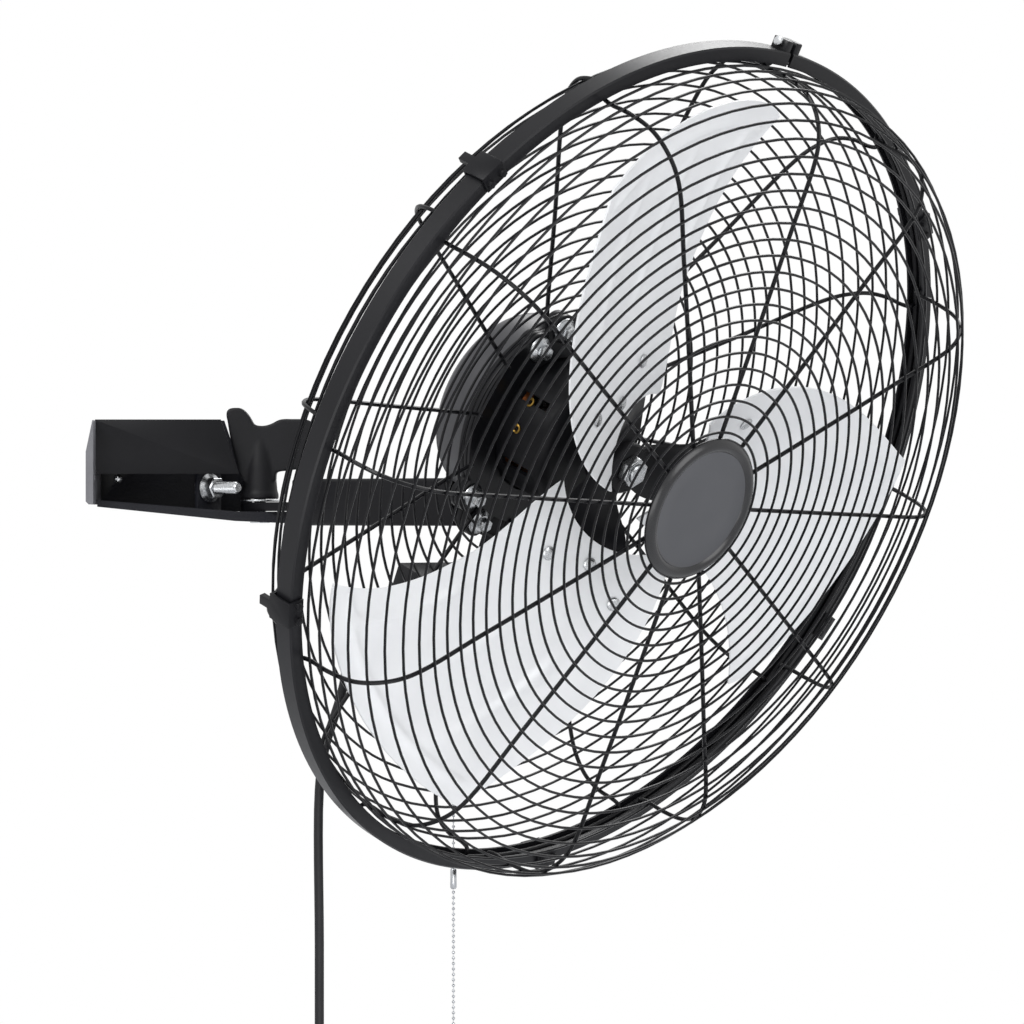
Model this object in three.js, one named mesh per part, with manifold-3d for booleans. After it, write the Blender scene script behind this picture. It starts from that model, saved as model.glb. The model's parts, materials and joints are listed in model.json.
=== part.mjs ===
// Wall mounted fan: a steel bracket on the wall, a panning arm and a tilting fan head in a wire cage.
// Millimetres. The wall is the plane X = 0, +X comes out of it and +Z is up.
import * as THREE from 'three';
import { mergeVertices } from 'three/addons/utils/BufferGeometryUtils.js';
import Module from 'manifold-3d';

const wasm = await Module();
wasm.setup();

// Fits
const gap = 0.3;
const holeGap = 0.3;
const weld = 0.5;

// Wall bracket
const plateThick = 5;
const plateHeight = 56;
const plateWidth = 84;
const plateSlant = 21;
const plateHoleSpan = 62;
const plateHoleRadius = 3.6;
const channelWidth = 44;
const cheekThick = 2.5;
const cheekTop = 28.8;
const nearCheekBottom = -7.5;
const cheekFrontTop = 88.4;
const cheekFrontBottom = 100.8;
const topPlateFront = 76;
const shelfTop = -32.7;
const shelfThick = 3;
const shelfFront = 30;
const flangeDrop = 8.3;
const slopeStart = 6;
const lipTaper = 2;
const lipStart = 1.5;
const plateToe = 2;
const plateCrest = 0.6;

// Pan pivot and its wing knob
const pivotOut = 113.6;
const pivotRadius = 4;
const pivotHeadRadius = 7.5;
const pivotHeadHeight = 4.4;
const washerRadius = 13;
const washerThick = 1.5;
const knobHeight = 61.2;
const knobThick = 15;
const knobBevel = 2;
const knobNeckRadius = 11;
const knobFootRadius = 12.6;
const knobFootHeight = 3.4;
const knobNeckHeight = 40;
const knobBoreDepth = 22;
const knobLeftReach = 23.5;
const knobRightReach = 39;
const knobNeckDrop = 50;
const knobWingDrop = 41;
const knobShoulderDrop = 7.5;
const knobLeftDrop = 9;
const knobValleyDrop = 14;
const knobTipDrop = 17;
const knobLeftBelly = 0.8;
const knobNeckTop = 7.2;

// Small bracket hardware
const screwOut = 16.6;
const screwHeight = -10.7;
const screwRadius = 1.6;
const screwHeadRadius = 2.8;
const screwHeadHeight = 1.8;
const screwSlotHalf = 0.35;
const screwTail = 4;
const sideBoltOut = 80;
const sideBoltAside = -7;
const sideBoltHeight = -16.8;
const sideBoltRadius = 4;
const sideBoltLength = 30;
const sideTabWidth = 22;
const sideTabThick = 2.5;
const sideTabTop = 9;
const sideHeadHeight = 5;
const sideNutFlange = 9.8;
const sideNutRadius = 7.5;
const sideNutHeight = 8;

// Arm
const panAngle = 42;
const tongueThick = 6;
const tongueWidth = 26;
const tongueNeck = 19;
const tongueTaper = 12;
const tongueInset = 25;
const armStart = 41;
const armEnd = 187;
const armEndSlant = 10;
const armWidth = 22;
const armHeight = 31;
const armTop = -11;
const armWall = 2;
const armCorner = 2.5;
const lugThick = 10;
const lugHeight = 12;
const lugBack = 25;
const lugRadius = 9.5;
const hingeOut = 203;
const hingeLevel = -35;

// Tilt hinge, measured from the middle of the cage
const tiltAngle = 23.2;
const hingeBack = 94;
const hingeBelow = 75;
const tiltBoltRadius = 4;
const tiltHeadRadius = 7.5;
const tiltHeadHeight = 5;
const earThick = 3;
const earRadius = 10;

// Motor
const motorRadius = 62.3;
const motorBack = 108;
const motorWall = 2.5;
const motorSplit = 76;
const flangeThick = 4;
const flangeRadius = 68;
const bellRadius = 44.5;
const bellFront = 25.5;
const ventCount = 6;
const ventWidth = 6;
const ventLength = 24;
const bearingRadius = 16;
const bearingWidth = 9;
const bearingSeat = 20;
const statorLength = 20;
const statorBore = 31.6;
const windingReach = 15;
const airGap = 0.6;
const shaftRadius = 6;
const shaftFront = 17;

// Plates in front of the motor, and the bolts through them
const yokeThick = 3;
const plateOfGuardThick = 2;
const upperBoltSide = 31;
const upperBoltUp = 51;
const topBoltSide = 13;
const topBoltUp = 64;
const lowerBoltSide = 37;
const lowerBoltDown = 67;
const flankBoltSide = 50;
const flankBoltDown = 50;
const boltLobe = 10.5;
const boltRadius = 2.6;
const domeRadius = 8.5;
const domeHeight = 4;
const boltHexRadius = 4.6;
const boltHexHeight = 5;

// Switch box under the yoke
const boxLeft = 60;
const boxRight = 8;
const boxTopDown = 110;
const boxHeight = 34;
const boxDepth = 27;
const boxWall = 2.2;
const tailSide = 15;
const tailWidth = 15;
const capacitorRadius = 11;
const capacitorLength = 34;
const switchSize = 17;
const glandRadius = 5.5;
const glandLength = 22;

// Pull chain
const chainRadius = 1.1;
const chainBack = 93;
const chainLength = 300;
const chainInside = 8;
const chainBoreRadius = 2;
const pendantRadius = 4.5;
const pendantLength = 16;
const eyeletRadius = 3.2;
const eyeletDrop = 172;

// Cage: two wire guards held at their rims by a clamp band
const bandRadius = 280;
const bandWall = 1.5;
const bandHalf = 7;
const bandLipDepth = 9;
const bandLip = bandRadius - bandLipDepth;
const rimWire = 2.2;
const rimOffset = 2.75;
const rimClear = 1.1;
const rimRadius = bandRadius - bandWall - rimWire - rimClear;
const sideInset = 3.6;
const sideRadius = bandLip - sideInset;
const bandGap = 3;
const bandLug = 6;
const bandLugHeight = 7;
const clampAngle = 6;
const clampScrewRadius = 1.5;
const clampScrewShare = 0.64;
const ribWire = 1.4;
const ringWire = 0.9;
const ribCount = 12;
const ringCount = 4;
const frontPhase = 2;
const rearPhase = 5;
const frontDepth = 66;
const frontShoulder = 30.4;
const frontKnee = sideRadius - frontShoulder;
const rearShoulder = 30;
const rearShoulderRun = 17.4;
const rearKnee = sideRadius - rearShoulderRun;
const rearKneeDepth = 43;
const rearConeShare = 0.54;
const frontOuterShare = 0.7;
const frontInnerShare = 0.34;
const frontCrown = 1.6;
const clipAngles = [-48, -110, 171, 114, 51.5];
const clipWidth = 17;
const clipThick = 1.6;

// Front cap
const capRadius = 47.5;
const capRim = 44;
const capRecess = 38.5;
const capThick = 5;
const capDish = 2.2;

// Fan wheel
const bladeCount = 3;
const tipClear = 19.4;
const bladeTip = sideRadius - tipClear;
const bladeTipDrop = 12;
const bladeTipRound = 8;
const bladeRoot = 50;
const bladeWaistShare = 0.384;
const bladeThick = 1.4;
const bladeFront = 40;
const bladePhase = 0;
const hubRadius = 17;
const hubBack = 16;
const hubFront = 8;
const hubPlane = 2;
const armTip = 96;
const armTipCrown = 14;
const armDish = 1.2;
const armSheet = 2.5;
const sheetClear = 0.65;
const rivetRadius = 2.6;
const rivetHeadRadius = 4.6;
const rivetHeadHeight = 1.4;
const rivetGap = 0.6;
const rivetSpots = [[77, -17], [64, -40], [83, -60]];
const shaftNutRadius = 10;
const shaftNutHeight = 7;

// Mains lead
const cordRadius = 3;
const cordHangX = 161.5;
const cordHangY = -209;
const cordHangEnd = -402;
const cordStraight = 4;
const cordBendRadius = 26;
const cordSwayX = 177;
const cordSwayLevel = -141;
const cordNearPlumb = 3.5;
const cordPlumbLevel = -208;
const coilRadius = 39;
const coilPitch = 6.8;
const coilLayers = 4;
const coilTurnsPerLayer = 1.75;
const coilTail = 30;
const tieWidth = 8;
const tieThick = 1.6;
const plugWidth = 17;
const plugDepth = 13;
const plugLength = 24;
const plugNeck = 10;
const pinSpan = 12.7;
const pinWidth = 1.6;
const pinDepth = 6.3;
const pinLength = 17;

const roundSteps = 18;
const capSteps = 22;
const smallSteps = 10;
const boltSteps = 8;
const hexSides = 6;
const hoopSteps = 24;
const rimSteps = 36;
const turn = Math.PI * 2;
const rad = THREE.MathUtils.degToRad;

// ---- Solids ----

function toSolid(geometry) {
  const bare = geometry.clone();
  bare.deleteAttribute('normal');
  bare.deleteAttribute('uv');
  const merged = mergeVertices(bare, 1e-4);
  const index = merged.index.array;
  const kept = [];
  for (let i = 0; i < index.length; i += 3) {
    const corners = [index[i], index[i + 1], index[i + 2]];
    if (new Set(corners).size === 3) kept.push(...corners);
  }
  return new wasm.Manifold(new wasm.Mesh({
    numProp: 3,
    vertProperties: new Float32Array(merged.attributes.position.array),
    triVerts: new Uint32Array(kept),
  }));
}

function toGeometry(solid) {
  const mesh = solid.getMesh();
  const geometry = new THREE.BufferGeometry();
  geometry.setAttribute('position', new THREE.BufferAttribute(new Float32Array(mesh.vertProperties), 3));
  geometry.setIndex(new THREE.BufferAttribute(new Uint32Array(mesh.triVerts), 1));
  geometry.computeVertexNormals();
  return geometry;
}

function join(geometries) {
  return toGeometry(geometries.map(toSolid).reduce((a, b) => a.add(b)));
}

function cut(geometry, tools) {
  return toGeometry(tools.map(toSolid).reduce((a, b) => a.subtract(b), toSolid(geometry)));
}

function box(x0, x1, y0, y1, z0, z1) {
  const geometry = new THREE.BoxGeometry(x1 - x0, y1 - y0, z1 - z0);
  return geometry.translate((x0 + x1) / 2, (y0 + y1) / 2, (z0 + z1) / 2);
}

// A round bar along one axis, from one place to another on it.
function bar(axis, radius, from, to, steps = smallSteps) {
  const geometry = new THREE.CylinderGeometry(radius, radius, to - from, steps);
  geometry.translate(0, (from + to) / 2, 0);
  if (axis === 'x') geometry.rotateZ(-Math.PI / 2);
  if (axis === 'z') geometry.rotateX(Math.PI / 2);
  return geometry;
}

// A shape turned about X, its outline given as [along, radius] pairs.
function turned(outline, steps = roundSteps) {
  const points = outline.map(([along, radius]) => new THREE.Vector2(radius, along));
  const geometry = new THREE.LatheGeometry(points, steps);
  return geometry.rotateZ(-Math.PI / 2);
}

function closed(outline) {
  return [...outline, outline[0]];
}

// A flat outline in the XZ plane, made thick along Y.
function slabY(points, y0, y1) {
  const shape = new THREE.Shape(points.map(([x, z]) => new THREE.Vector2(x, z)));
  const geometry = new THREE.ExtrudeGeometry(shape, { depth: y1 - y0, bevelEnabled: false });
  return geometry.rotateX(Math.PI / 2).translate(0, y1, 0);
}

// A flat outline in the YZ plane, made thick along X.
function slabX(shape, x0, x1, curveSegments = 6) {
  const geometry = new THREE.ExtrudeGeometry(shape, { depth: x1 - x0, bevelEnabled: false, curveSegments });
  geometry.rotateX(Math.PI / 2).rotateZ(Math.PI / 2);
  return geometry.translate(x0, 0, 0);
}

function roundedRect(y0, y1, z0, z1, corner) {
  const shape = new THREE.Shape();
  shape.moveTo(y0 + corner, z0);
  shape.lineTo(y1 - corner, z0);
  shape.absarc(y1 - corner, z0 + corner, corner, -Math.PI / 2, 0);
  shape.lineTo(y1, z1 - corner);
  shape.absarc(y1 - corner, z1 - corner, corner, 0, Math.PI / 2);
  shape.lineTo(y0 + corner, z1);
  shape.absarc(y0 + corner, z1 - corner, corner, Math.PI / 2, Math.PI);
  shape.lineTo(y0, z0 + corner);
  shape.absarc(y0 + corner, z0 + corner, corner, Math.PI, Math.PI * 1.5);
  return shape;
}

// A round wire or cord along a curve.
function wire(curve, radius, steps, sides) {
  const corners = Array.from({ length: sides }, (_, i) => {
    const angle = (i / sides) * turn;
    return new THREE.Vector2(radius * Math.cos(angle), radius * Math.sin(angle));
  });
  return new THREE.ExtrudeGeometry(new THREE.Shape(corners), { steps, extrudePath: curve, bevelEnabled: false });
}

const parts = new THREE.Group();
const fixed = new THREE.Group();
const arm = new THREE.Group();
const head = new THREE.Group();
parts.add(fixed, arm);
arm.add(head);
arm.position.set(pivotOut, 0, 0);
arm.rotation.z = rad(-panAngle);
head.rotation.y = rad(tiltAngle);
head.position.set(
  hingeOut + hingeBack * Math.cos(rad(tiltAngle)) + hingeBelow * Math.sin(rad(tiltAngle)),
  0,
  hingeLevel - hingeBack * Math.sin(rad(tiltAngle)) + hingeBelow * Math.cos(rad(tiltAngle)),
);
parts.updateMatrixWorld(true);

const steelBlack = { color: 0x1d1d1f, roughness: 0.45, metalness: 0.3 };
const wireBlack = { color: 0x161618, roughness: 0.35, metalness: 0.3 };
const plasticBlack = { color: 0x131314, roughness: 0.55, metalness: 0 };
const zinc = { color: 0xc4c6c8, roughness: 0.3, metalness: 1 };
const aluminium = { color: 0xd9dade, roughness: 0.35, metalness: 0.9 };
const copper = { color: 0xb26a3c, roughness: 0.4, metalness: 0.9 };

function add(group, name, geometry, look) {
  const mesh = new THREE.Mesh(geometry, new THREE.MeshStandardMaterial(look));
  mesh.name = name;
  group.add(mesh);
}

// ---- Wall bracket ----

const cheekOut = channelWidth / 2;
const cheekIn = cheekOut - cheekThick;
const shelfBottom = shelfTop - shelfThick;
const flangeBottom = shelfTop - flangeDrop;
const plateBottom = -plateHeight / 2;
const plateTop = plateHeight / 2;
const shelfEnd = pivotOut + shelfFront;
const slopeEnd = pivotOut - tongueWidth / 2 - cheekThick;

function frontOfCheek(z) {
  const share = (cheekTop - z) / (cheekTop - nearCheekBottom);
  return cheekFrontTop + share * (cheekFrontBottom - cheekFrontTop);
}

function wallBracket() {
  const back = plateThick - weld;
  const plate = slabY([
    [0, plateBottom + plateToe], [plateToe, plateBottom], [plateThick, plateBottom], [plateThick, plateTop],
    [plateThick - plateCrest, plateTop], [0, plateTop - plateSlant],
  ], -plateWidth / 2, plateWidth / 2);
  const near = slabY([
    [back, nearCheekBottom], [cheekFrontBottom, nearCheekBottom], [cheekFrontTop, cheekTop], [back, cheekTop],
  ], -cheekOut, -cheekIn);
  const farFoot = shelfTop - weld;
  const far = slabY([
    [back, plateBottom], [frontOfCheek(farFoot), farFoot], [cheekFrontTop, cheekTop], [back, cheekTop],
  ], cheekIn, cheekOut);
  const roof = box(back, topPlateFront, -cheekOut, cheekOut, cheekTop - cheekThick, cheekTop);
  const floor = slabY([
    [back, plateBottom], [slopeStart, plateBottom], [slopeEnd, shelfBottom], [slopeEnd, shelfTop],
    [slopeStart, plateBottom + shelfThick], [back, plateBottom + shelfThick],
  ], -cheekOut, cheekOut);
  const shelf = box(slopeEnd - weld, shelfEnd, -cheekOut, cheekOut, shelfBottom, shelfTop);
  const lip = [
    [slopeStart, plateBottom + weld], [slopeEnd, shelfBottom + weld], [shelfEnd, shelfBottom + weld],
    [shelfEnd, flangeBottom], [slopeEnd, flangeBottom + lipTaper], [slopeStart, plateBottom - lipStart],
  ];
  const lips = [slabY(lip, -cheekOut, -cheekIn), slabY(lip, cheekIn, cheekOut)];
  const tabFoot = shelfTop - weld - sideBoltHeight;
  const tab = box(-sideTabThick, 0, -sideTabWidth / 2, sideTabWidth / 2, tabFoot, sideTabTop);
  const tabPlaced = tab.rotateZ(rad(-panAngle)).translate(sideBoltOut, sideBoltAside, sideBoltHeight);
  const body = join([plate, near, far, roof, floor, shelf, ...lips, tabPlaced]);
  const holes = [-1, 1].map((side) => bar('x', plateHoleRadius, -1, plateThick + 1)
    .translate(0, side * plateHoleSpan / 2, -plateSlant / 2));
  const pivotHole = bar('z', pivotRadius + holeGap, shelfBottom - 1, shelfTop + 1).translate(pivotOut, 0, 0);
  const screwHole = bar('y', screwRadius + holeGap, cheekIn - 1, cheekOut + 1).translate(screwOut, 0, screwHeight);
  const boltHole = bar('x', sideBoltRadius + holeGap, -sideTabThick - 1, 1)
    .rotateZ(rad(-panAngle)).translate(sideBoltOut, sideBoltAside, sideBoltHeight);
  return cut(body, [...holes, pivotHole, screwHole, boltHole]);
}

// The small cross-head screw that is driven through the far cheek from inside the channel.
function bracketScrew() {
  const headBack = cheekIn - gap;
  const headPiece = bar('y', screwHeadRadius, headBack - screwHeadHeight, headBack);
  const shank = bar('y', screwRadius, headBack - weld, cheekOut + screwTail);
  const across = screwHeadRadius * 0.6;
  const slotFloor = headBack - screwHeadHeight / 2;
  const slots = [0, Math.PI / 2].map((spin) =>
    box(-across, across, slotFloor - screwHeadHeight, slotFloor, -screwSlotHalf, screwSlotHalf).rotateY(spin));
  return cut(join([headPiece, shank]), slots).translate(screwOut, 0, screwHeight);
}

function sideBolt() {
  const shank = bar('x', sideBoltRadius, -sideTabThick - gap - 1, sideBoltLength - sideTabThick);
  const headBack = -sideTabThick - gap;
  const hex = bar('x', sideNutRadius, headBack - sideHeadHeight, headBack, hexSides);
  return join([shank, hex]).rotateZ(rad(-panAngle)).translate(sideBoltOut, sideBoltAside, sideBoltHeight);
}

function sideNut() {
  const flange = bar('x', sideNutFlange, gap, gap + 2, 20);
  const hex = bar('x', sideNutRadius, gap + 1, gap + sideNutHeight, hexSides);
  const bore = bar('x', sideBoltRadius + holeGap, -1, gap + sideNutHeight + 1);
  return cut(join([flange, hex]), [bore])
    .rotateZ(rad(-panAngle)).translate(sideBoltOut, sideBoltAside, sideBoltHeight);
}

const tongueBottom = shelfTop + gap;
const tongueTop = tongueBottom + tongueThick;
const washerBottom = tongueTop + gap;
const knobBottom = washerBottom + washerThick + gap;
const knobTop = knobBottom + knobHeight;

function pivotBolt() {
  const headTop = shelfBottom - gap;
  const hex = bar('z', pivotHeadRadius, headTop - pivotHeadHeight, headTop, hexSides);
  const shank = bar('z', pivotRadius, headTop - weld, knobBottom + knobBoreDepth - 2);
  return join([hex, shank]).translate(pivotOut, 0, 0);
}

function pivotWasher() {
  const disc = bar('z', washerRadius, washerBottom, washerBottom + washerThick, 24);
  return cut(disc, [bar('z', pivotRadius + holeGap, washerBottom - 1, washerBottom + washerThick + 1)]);
}

// The wing knob: a broad right wing, a short high left one and a valley between them.
function wingKnob() {
  const left = -knobLeftReach;
  const right = knobRightReach;
  const top = knobTop;
  const shape = new THREE.Shape();
  const leftInner = left / 2;
  const rightInner = right / 2;
  shape.moveTo(-knobNeckRadius, top - knobNeckDrop);
  shape.quadraticCurveTo(left * knobLeftBelly, top - knobNeckDrop * 0.6, left + 2, top - knobLeftDrop);
  shape.quadraticCurveTo(left - 1, top, left + 6, top);
  shape.lineTo(leftInner - 1, top);
  shape.quadraticCurveTo(left / 3, top - 2, left / 6, top - knobLeftDrop - 2);
  shape.quadraticCurveTo(3, top - knobValleyDrop, knobNeckRadius, top - knobLeftDrop);
  shape.quadraticCurveTo(knobNeckRadius + 3, top - knobShoulderDrop + 1, rightInner, top - knobShoulderDrop);
  shape.lineTo(right - knobLeftDrop, top - knobShoulderDrop);
  shape.quadraticCurveTo(right, top - knobLeftDrop, right, top - knobTipDrop);
  shape.lineTo(right - 5, top - knobWingDrop + 2);
  shape.quadraticCurveTo(right - 7, top - knobWingDrop - 1, right * 0.7, top - knobWingDrop);
  shape.lineTo(knobNeckRadius, top - knobWingDrop - 2);
  shape.lineTo(knobNeckRadius, top - knobNeckDrop);
  const wings = new THREE.ExtrudeGeometry(shape, {
    depth: knobThick - 2 * knobBevel, bevelThickness: knobBevel, bevelSize: knobBevel,
    bevelOffset: -knobBevel, bevelSegments: 1, curveSegments: 3,
  });
  wings.rotateX(Math.PI / 2).translate(0, knobThick / 2 - knobBevel, 0);
  const foot = bar('z', knobFootRadius, knobBottom, knobBottom + knobFootHeight, 14);
  const neckFrom = knobBottom + knobFootHeight / 2;
  const neckTo = knobBottom + knobNeckHeight;
  const neck = turned([
    [neckFrom, 0], [neckFrom, knobFootRadius - 0.6], [neckTo, knobNeckTop], [neckTo, 0],
  ], 14).rotateY(-Math.PI / 2);
  const bore = bar('z', pivotRadius + holeGap, knobBottom - 1, knobBottom + knobBoreDepth);
  return cut(join([wings, foot, neck]), [bore]).translate(pivotOut, 0, 0);
}

add(fixed, 'wall_bracket', wallBracket(), steelBlack);
add(fixed, 'bracket_screw', bracketScrew(), zinc);
add(fixed, 'side_bolt', sideBolt(), zinc);
add(fixed, 'side_nut', sideNut(), zinc);
add(fixed, 'pivot_bolt', pivotBolt(), zinc);
add(fixed, 'wing_knob', wingKnob(), plasticBlack);

// ---- Arm, in its own frame: X runs out along it from the pivot ----

const armBottom = armTop - armHeight;

function armTube() {
  const outer = slabX(roundedRect(-armWidth / 2, armWidth / 2, armBottom, armTop, armCorner), armStart, armEnd, 3);
  const inY = armWidth / 2 - armWall;
  const inner = box(armStart - 1, armEnd + 1, -inY, inY, armBottom + armWall, armTop - armWall);
  const endCut = slabY([
    [armEnd - armEndSlant, armTop + 1], [armEnd + armEndSlant, armTop + 1],
    [armEnd + armEndSlant, armBottom], [armEnd, armBottom],
  ], -armWidth, armWidth);
  const tube = cut(outer, [inner, endCut]);
  const halfTongue = tongueWidth / 2;
  const halfNeck = tongueNeck / 2;
  const outline = new THREE.Shape();
  outline.absarc(0, 0, halfTongue, Math.PI / 2, Math.PI * 1.5);
  outline.lineTo(armStart - tongueTaper, -halfTongue);
  outline.lineTo(armStart, -halfNeck);
  outline.lineTo(armStart + tongueInset, -halfNeck);
  outline.lineTo(armStart + tongueInset, halfNeck);
  outline.lineTo(armStart, halfNeck);
  outline.lineTo(armStart - tongueTaper, halfTongue);
  const tongue = new THREE.ExtrudeGeometry(outline, { depth: tongueThick, bevelEnabled: false, curveSegments: 8 });
  tongue.translate(0, 0, tongueBottom);
  const lugFoot = armBottom + armWall - weld;
  const lug = box(armEnd - lugBack, hingeOut, -lugThick / 2, lugThick / 2, lugFoot, lugFoot + lugHeight);
  const eye = bar('y', lugRadius, -lugThick / 2, lugThick / 2, 20).translate(hingeOut, 0, hingeLevel);
  const pivotHole = bar('z', pivotRadius + holeGap, tongueBottom - 1, tongueTop + 1);
  const tiltHole = bar('y', tiltBoltRadius + holeGap, -lugThick, lugThick).translate(hingeOut, 0, hingeLevel);
  return cut(join([tube, tongue, lug, eye]), [pivotHole, tiltHole]);
}

add(arm, 'arm_tube', armTube(), steelBlack);
add(arm, 'pivot_washer', pivotWasher(), zinc);

// ---- Head, in its own frame: X is the fan's axis, pointing forward ----

const bellFlangeBack = -(motorSplit - gap);
const bellFlangeFront = bellFlangeBack + flangeThick;
const yokeBack = bellFlangeFront + gap;
const yokeFront = yokeBack + yokeThick;
const guardPlateBack = yokeFront + gap;
const guardPlateFront = guardPlateBack + plateOfGuardThick;
const boltSpots = [
  [upperBoltSide, upperBoltUp], [topBoltSide, topBoltUp],
  [lowerBoltSide, -lowerBoltDown], [flankBoltSide, -flankBoltDown],
].flatMap(([y, z]) => [[-y, z], [y, z]]);
const hinge = { x: -hingeBack, z: -hingeBelow };
const plateBore = bellRadius + 1.5;

// A round plate with a lobe at each bolt, its bolt holes and a hole for the motor.
function lobedPlate(x0, x1, bore) {
  const disc = bar('x', flangeRadius, x0, x1, roundSteps);
  const lobes = boltSpots.map(([y, z]) => bar('x', boltLobe, x0, x1, boltSteps).translate(0, y, z));
  const cuts = boltSpots.map(([y, z]) => bar('x', boltRadius + holeGap, x0 - 1, x1 + 1, boltSteps).translate(0, y, z));
  cuts.push(bar('x', bore, x0 - 1, x1 + 1, roundSteps));
  return cut(join([disc, ...lobes]), cuts);
}

function motorRearShell() {
  const back = -motorBack;
  const front = -motorSplit;
  const inside = motorRadius - motorWall;
  const floor = back + motorWall;
  const seatFront = floor + bearingWidth + 1;
  const seatBore = bearingRadius + gap;
  return turned([
    [back, 0], [back, motorRadius - 7], [back + 3, motorRadius - 1.6], [back + 8, motorRadius],
    [front, motorRadius], [front, inside], [floor + 5, inside], [floor, inside - 4],
    [floor, bearingSeat], [seatFront, bearingSeat], [seatFront, seatBore], [floor, seatBore], [floor, 0],
  ]);
}

function motorFrontBell() {
  const inside = bellRadius - motorWall;
  const end = -bellFront;
  const floor = end - motorWall;
  const seatBack = floor - bearingWidth - 1;
  const seatBore = bearingRadius + gap;
  const dome = turned(closed([
    [bellFlangeBack, bellRadius], [end - 6, bellRadius], [end, bellRadius - 8],
    [end, shaftRadius + 1], [floor, shaftRadius + 1], [floor, seatBore], [seatBack, seatBore],
    [seatBack, bearingSeat], [floor, bearingSeat], [floor, inside],
    [bellFlangeBack, inside],
  ]));
  const flange = lobedPlate(bellFlangeBack, bellFlangeFront, inside + 1);
  const ventBack = yokeFront + plateOfGuardThick + gap + 5;
  const vents = Array.from({ length: ventCount }, (_, i) =>
    box(ventBack, ventBack + ventLength, -ventWidth / 2, ventWidth / 2, inside - 4, bellRadius + 2)
      .rotateX((i / ventCount) * turn));
  return cut(join([dome, flange]), vents);
}

const statorBack = -motorBack + motorWall + bearingWidth;

function stator() {
  const front = statorBack + statorLength;
  const outer = motorRadius - motorWall - gap;
  const innerWinding = statorBore + 2;
  const outerWinding = bellRadius - motorWall - 2;
  return turned(closed([
    [statorBack, statorBore], [statorBack, outer], [front, outer], [front, outerWinding],
    [front + windingReach - 3, outerWinding], [front + windingReach, outerWinding - 3],
    [front + windingReach, innerWinding], [front, innerWinding], [front, statorBore],
  ]));
}

function rotorCore() {
  const radius = statorBore - airGap;
  const ring = closed([
    [statorBack + 1, shaftRadius + gap], [statorBack + 1, radius],
    [statorBack + statorLength - 1, radius], [statorBack + statorLength - 1, shaftRadius + gap],
  ]);
  return turned(ring);
}

function bearing(back) {
  return turned(closed([
    [back, shaftRadius + gap], [back, bearingRadius],
    [back + bearingWidth, bearingRadius], [back + bearingWidth, shaftRadius + gap],
  ]), 18);
}

function shaft() {
  return bar('x', shaftRadius, -motorBack + motorWall + gap, shaftFront, 20);
}

// The yoke: plate, the two ears of the tilt hinge, and a tail that closes the switch box.
function yoke() {
  const plate = lobedPlate(yokeBack, yokeFront, plateBore);
  const tail = box(yokeBack, yokeFront, -tailSide - tailWidth / 2, -tailSide + tailWidth / 2,
    -boxTopDown - 4, -flangeRadius + 6);
  const cover = box(yokeBack, yokeFront, -boxLeft, boxRight, -boxTopDown - boxHeight, -boxTopDown);
  const foot = box(yokeBack, yokeFront, -lugThick / 2 - gap - earThick, lugThick / 2 + gap + earThick,
    hinge.z - earRadius, -flangeRadius + 6);
  const ears = [-1, 1].flatMap((side) => {
    const near = side * (lugThick / 2 + gap);
    const far = near + side * earThick;
    const y0 = Math.min(near, far);
    const y1 = Math.max(near, far);
    return [
      bar('y', earRadius, y0, y1, 20).translate(hinge.x, 0, hinge.z),
      box(hinge.x, yokeBack + weld, y0, y1, hinge.z - earRadius + 1, -flangeRadius - 2 * gap),
    ];
  });
  const hole = bar('y', tiltBoltRadius + holeGap, -20, 20).translate(hinge.x, 0, hinge.z);
  return cut(join([plate, tail, cover, foot, ...ears]), [hole]);
}

const earOut = lugThick / 2 + gap + earThick;

function tiltBolt() {
  const under = -earOut - gap;
  const hex = bar('y', tiltHeadRadius, under - tiltHeadHeight, under, hexSides);
  const shank = bar('y', tiltBoltRadius, under - weld, earOut + gap + tiltHeadHeight + 3);
  return join([hex, shank]).translate(hinge.x, 0, hinge.z);
}

function tiltNut() {
  const from = earOut + gap;
  const hex = bar('y', tiltHeadRadius, from, from + tiltHeadHeight, hexSides);
  const bore = bar('y', tiltBoltRadius + holeGap, from - 1, from + tiltHeadHeight + 1);
  return cut(hex, [bore]).translate(hinge.x, 0, hinge.z);
}

// A bolt with a domed washer under its head, through the guard plate and yoke into the motor.
function mountBolt(y, z) {
  const under = guardPlateFront + gap;
  const profile = [
    [bellFlangeBack, 0], [bellFlangeBack, boltRadius], [under, boltRadius], [under, domeRadius],
    [under + domeHeight, boltHexRadius],
    [under + domeHeight, 0],
  ];
  const dome = turned(profile, boltSteps);
  const hex = bar('x', boltHexRadius, under + domeHeight - weld, under + domeHeight + boltHexHeight, hexSides);
  return join([dome, hex]).translate(0, y, z);
}

add(head, 'yoke', yoke(), steelBlack);
add(head, 'tilt_bolt', tiltBolt(), zinc);
add(head, 'tilt_nut', tiltNut(), zinc);
add(head, 'motor_rear_shell', motorRearShell(), steelBlack);
add(head, 'motor_front_bell', motorFrontBell(), steelBlack);
add(head, 'stator', stator(), copper);
add(head, 'rotor_core', rotorCore(), zinc);
add(head, 'rear_bearing', bearing(-motorBack + motorWall + gap), zinc);
add(head, 'front_bearing', bearing(-bellFront - motorWall - gap - bearingWidth), zinc);
add(head, 'shaft', shaft(), zinc);
boltSpots.forEach(([y, z], i) => add(head, `mount_bolt_${i + 1}`, mountBolt(y, z), zinc));

// ---- Switch box ----

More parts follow.
